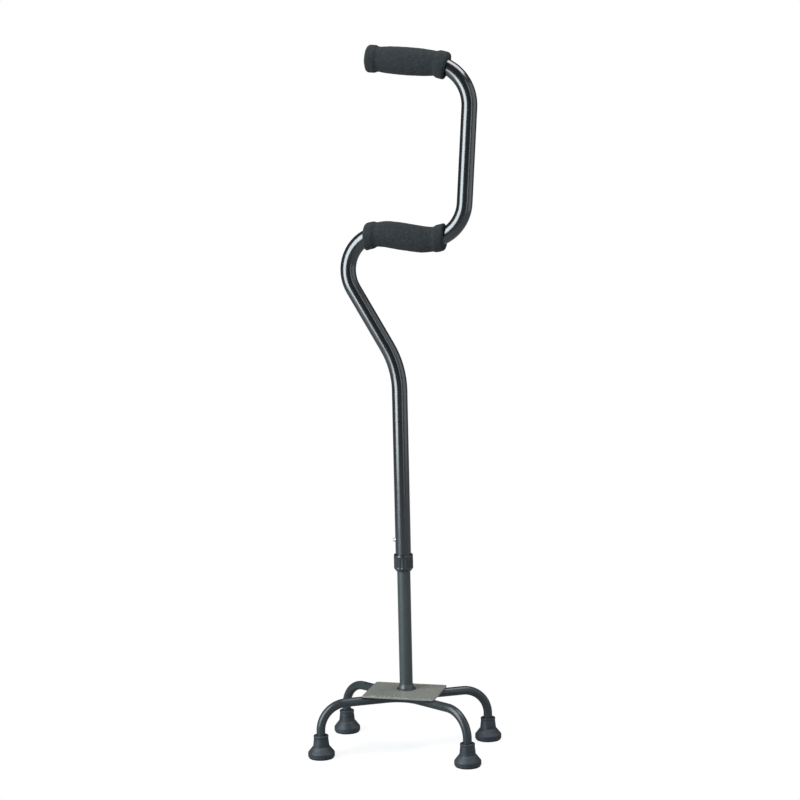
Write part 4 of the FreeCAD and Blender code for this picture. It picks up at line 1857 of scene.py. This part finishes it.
# ---------------------------------------------------------------- studio
@dataclass
class SoftBox:
    """A rectangular light that faces the stem.

    Attributes:
        name: The light's name.
        bearing: Its direction from the stem, in degrees to the right of the camera.
        distance: How far it is from the stem.
        height: The height of its middle.
        width: Its width.
        tall: Its height from edge to edge.
        power: Its power in watts.
        colour: Its colour.
    """

    name: str
    bearing: float
    distance: float
    height: float
    width: float
    tall: float
    power: float
    colour: Colour = (0.86, 0.95, 1.0)

    def build(self, camera_azimuth: float, aim: Vector) -> None:
        """Makes the light.

        Args:
            camera_azimuth: The camera's direction from the stem, in degrees.
            aim: The point that it faces.
        """
        light = bpy.data.lights.new(self.name, "AREA")
        light.shape = "RECTANGLE"
        light.size = self.width
        light.size_y = self.tall
        light.energy = self.power
        light.color = self.colour
        made = bpy.data.objects.new(self.name, light)
        angle = math.radians(camera_azimuth + self.bearing)
        away = Vector((math.sin(angle), -math.cos(angle), 0.0))
        made.location = Vector((aim.x, aim.y, self.height)) + away * self.distance
        made.rotation_mode = "QUATERNION"
        made.rotation_quaternion = (aim - made.location).to_track_quat("-Z", "Y")
        bpy.context.scene.collection.objects.link(made)


@dataclass
class StudioCamera:
    """The camera, which looks at the stem from the front and a little from above.

    Attributes:
        azimuth: Its direction from the stem, in degrees.
        elevation: Its height above the horizon, in degrees.
        distance: How far it is from the point that it looks at.
        roll: How far it leans, in degrees.
        lens: Its focal length in millimetres.
        sensor: The width of its sensor in millimetres.
        aim_height: The height of the point that it looks at.
        shift: How far up its picture is shifted.
    """

    azimuth: float = 15.05
    elevation: float = 8.02
    distance: float = 3.09335
    roll: float = -1.29
    lens: float = 97.76
    sensor: float = 36.0
    aim_height: float = 0.5
    shift: float = 0.0075

    def aim(self) -> Vector:
        """Gives the point that it looks at, on the stem's axis."""
        axis = middle("lower_tube")
        return Vector((axis.x, axis.y, self.aim_height))

    def build(self) -> None:
        """Makes the camera and gives it to the scene."""
        data = bpy.data.cameras.new("studio_camera")
        data.sensor_width = self.sensor
        data.lens = self.lens
        data.shift_y = self.shift
        made = bpy.data.objects.new("studio_camera", data)
        turn_angle, lift = math.radians(self.azimuth), math.radians(self.elevation)
        back = Vector(
            (math.sin(turn_angle) * math.cos(lift), -math.cos(turn_angle) * math.cos(lift), math.sin(lift))
        )
        made.location = self.aim() + back * self.distance
        made.rotation_mode = "QUATERNION"
        lean = Quaternion((0.0, 0.0, 1.0), math.radians(self.roll))
        made.rotation_quaternion = (-back).to_track_quat("-Z", "Y") @ lean
        bpy.context.scene.collection.objects.link(made)
        bpy.context.scene.camera = made


@dataclass
class Studio:
    """A pale floor, white surroundings and soft boxes.

    Attributes:
        camera: The camera, which the lights stand round.
        floor_half: Half the width of the floor.
        floor_drop: How far the floor lies below the rubber, so that the two don't touch.
        floor_colour: The floor's own colour.
        glow_start: The distance from the middle where the floor starts to turn plain white.
        glow_end: The distance where it is plain white.
        fill: How bright the surroundings are for what they light.
        fill_colour: The colour of that light.
        gleam: How bright the surroundings are in a reflection.
        gleam_colour: The colour of that reflection.
        bounce_colour: The floor's colour for the light that it throws back on the object.
        boxes: The lights.
    """

    camera: StudioCamera
    floor_half: float = 12.0
    floor_drop: float = 0.0002
    floor_colour: Colour = (0.93, 0.93, 0.93)
    glow_start: float = -0.45
    glow_end: float = 0.3
    fill: float = 0.4
    fill_colour: Colour = (0.97, 0.99, 1.0)
    gleam: float = 0.08
    gleam_colour: Colour = (0.95, 0.98, 1.0)
    bounce_colour: Colour = (0.3, 0.31, 0.32)
    boxes: tuple[SoftBox, ...] = (
        SoftBox("box_left", bearing=-57.0, distance=1.7, height=1.1, width=1.3, tall=2.2, power=76.0),
        SoftBox("box_right", bearing=80.0, distance=2.0, height=1.0, width=2.0, tall=2.0, power=11.0),
        SoftBox("strip_right", bearing=35.0, distance=2.0, height=1.0, width=0.3, tall=2.0, power=5.0),
        SoftBox(
            "box_above",
            bearing=86.0,
            distance=0.85,
            height=2.6,
            width=1.3,
            tall=1.3,
            power=34.0,
            colour=(0.95, 0.98, 1.0),
        ),
    )

    def build(self) -> None:
        """Makes the floor, the surroundings, the lights and the camera."""
        scene = bpy.context.scene
        scene.view_settings.view_transform = "Standard"
        scene.view_settings.look = "None"
        self._surroundings()
        self._floor()
        for box in self.boxes:
            box.build(self.camera.azimuth, self.camera.aim())
        self.camera.build()

    def _surroundings(self) -> None:
        """Makes the world: white behind the object, soft grey in what it lights."""
        world = bpy.data.worlds.new("studio_white")
        bpy.context.scene.world = world
        world.use_nodes = True
        world.node_tree.nodes.clear()
        graph = Graph(world.node_tree)
        path = graph.add("ShaderNodeLightPath").outputs
        seen = self._backdrop(graph, (1.0, 1.0, 1.0), 1.0)
        mirrored = self._backdrop(graph, self.gleam_colour, self.gleam)
        filled = self._backdrop(graph, self.fill_colour, self.fill)
        lit = graph.mix(path["Is Glossy Ray"], filled, mirrored)
        mixed = graph.mix(path["Is Camera Ray"], lit, seen)
        graph.add("ShaderNodeOutputWorld", {"Surface": mixed.outputs[0]})

    @staticmethod
    def _backdrop(graph: Graph, colour: Colour, strength: float) -> bpy.types.Node:
        """Adds surroundings of one colour to the world's graph and gives their node."""
        return graph.add("ShaderNodeBackground", {"Color": (*colour, 1.0), "Strength": strength})

    def _floor(self) -> None:
        """Makes the floor, which turns plain white away from the object and isn't seen from below."""
        sheet = bmesh.new()
        bmesh.ops.create_grid(sheet, x_segments=8, y_segments=8, size=self.floor_half)
        bmesh.ops.translate(sheet, verts=sheet.verts, vec=(0.0, 0.0, -self.floor_drop))
        data = bpy.data.meshes.new("floor")
        sheet.to_mesh(data)
        sheet.free()
        data.materials.append(self._floor_material())
        made = bpy.data.objects.new("floor", data)
        bpy.context.scene.collection.objects.link(made)

    def _floor_material(self) -> bpy.types.Material:
        """Writes the floor's material.

        Returns:
            The material.
        """
        made = bpy.data.materials.new("pale_floor")
        made.use_nodes = True
        made.node_tree.nodes.clear()
        graph = Graph(made.node_tree)
        away = graph.add("ShaderNodeVectorMath", {0: graph.place()}, operation="LENGTH").outputs["Value"]
        far = graph.spread(away, self.glow_start, self.glow_end)
        shown = graph.add("ShaderNodeBsdfDiffuse", {"Color": (*self.floor_colour, 1.0)})
        bounce = graph.add("ShaderNodeBsdfDiffuse", {"Color": (*self.bounce_colour, 1.0)})
        glow = graph.add("ShaderNodeEmission", {"Color": (1.0, 1.0, 1.0, 1.0), "Strength": 1.0})
        path = graph.add("ShaderNodeLightPath").outputs["Is Camera Ray"]
        share = graph.math("MULTIPLY", far, path)
        matt = graph.mix(path, bounce, shown)
        front = graph.mix(share, matt, glow)
        clear = graph.add("ShaderNodeBsdfTransparent")
        below = graph.add("ShaderNodeNewGeometry").outputs["Backfacing"]
        whole = graph.mix(below, front, clear)
        graph.add("ShaderNodeOutputMaterial", {"Surface": whole.outputs[0]})
        return made


def main() -> None:
    """Builds every sub-assembly and reports its pieces."""
    logging.basicConfig(level=logging.INFO, format="%(name)s: %(message)s")
    tips = [f"tip_{end}_{side}" for end in ("front", "rear") for side in ("left", "right")]
    assemblies = [Handle(), Telescope(), Base(), *(RubberTip(node) for node in tips)]
    for assembly in assemblies:
        for piece in assembly.build():
            LOG.info("%s made %s", type(assembly).__name__, piece)
    Studio(StudioCamera()).build()


if __name__ == "__main__":
    main()
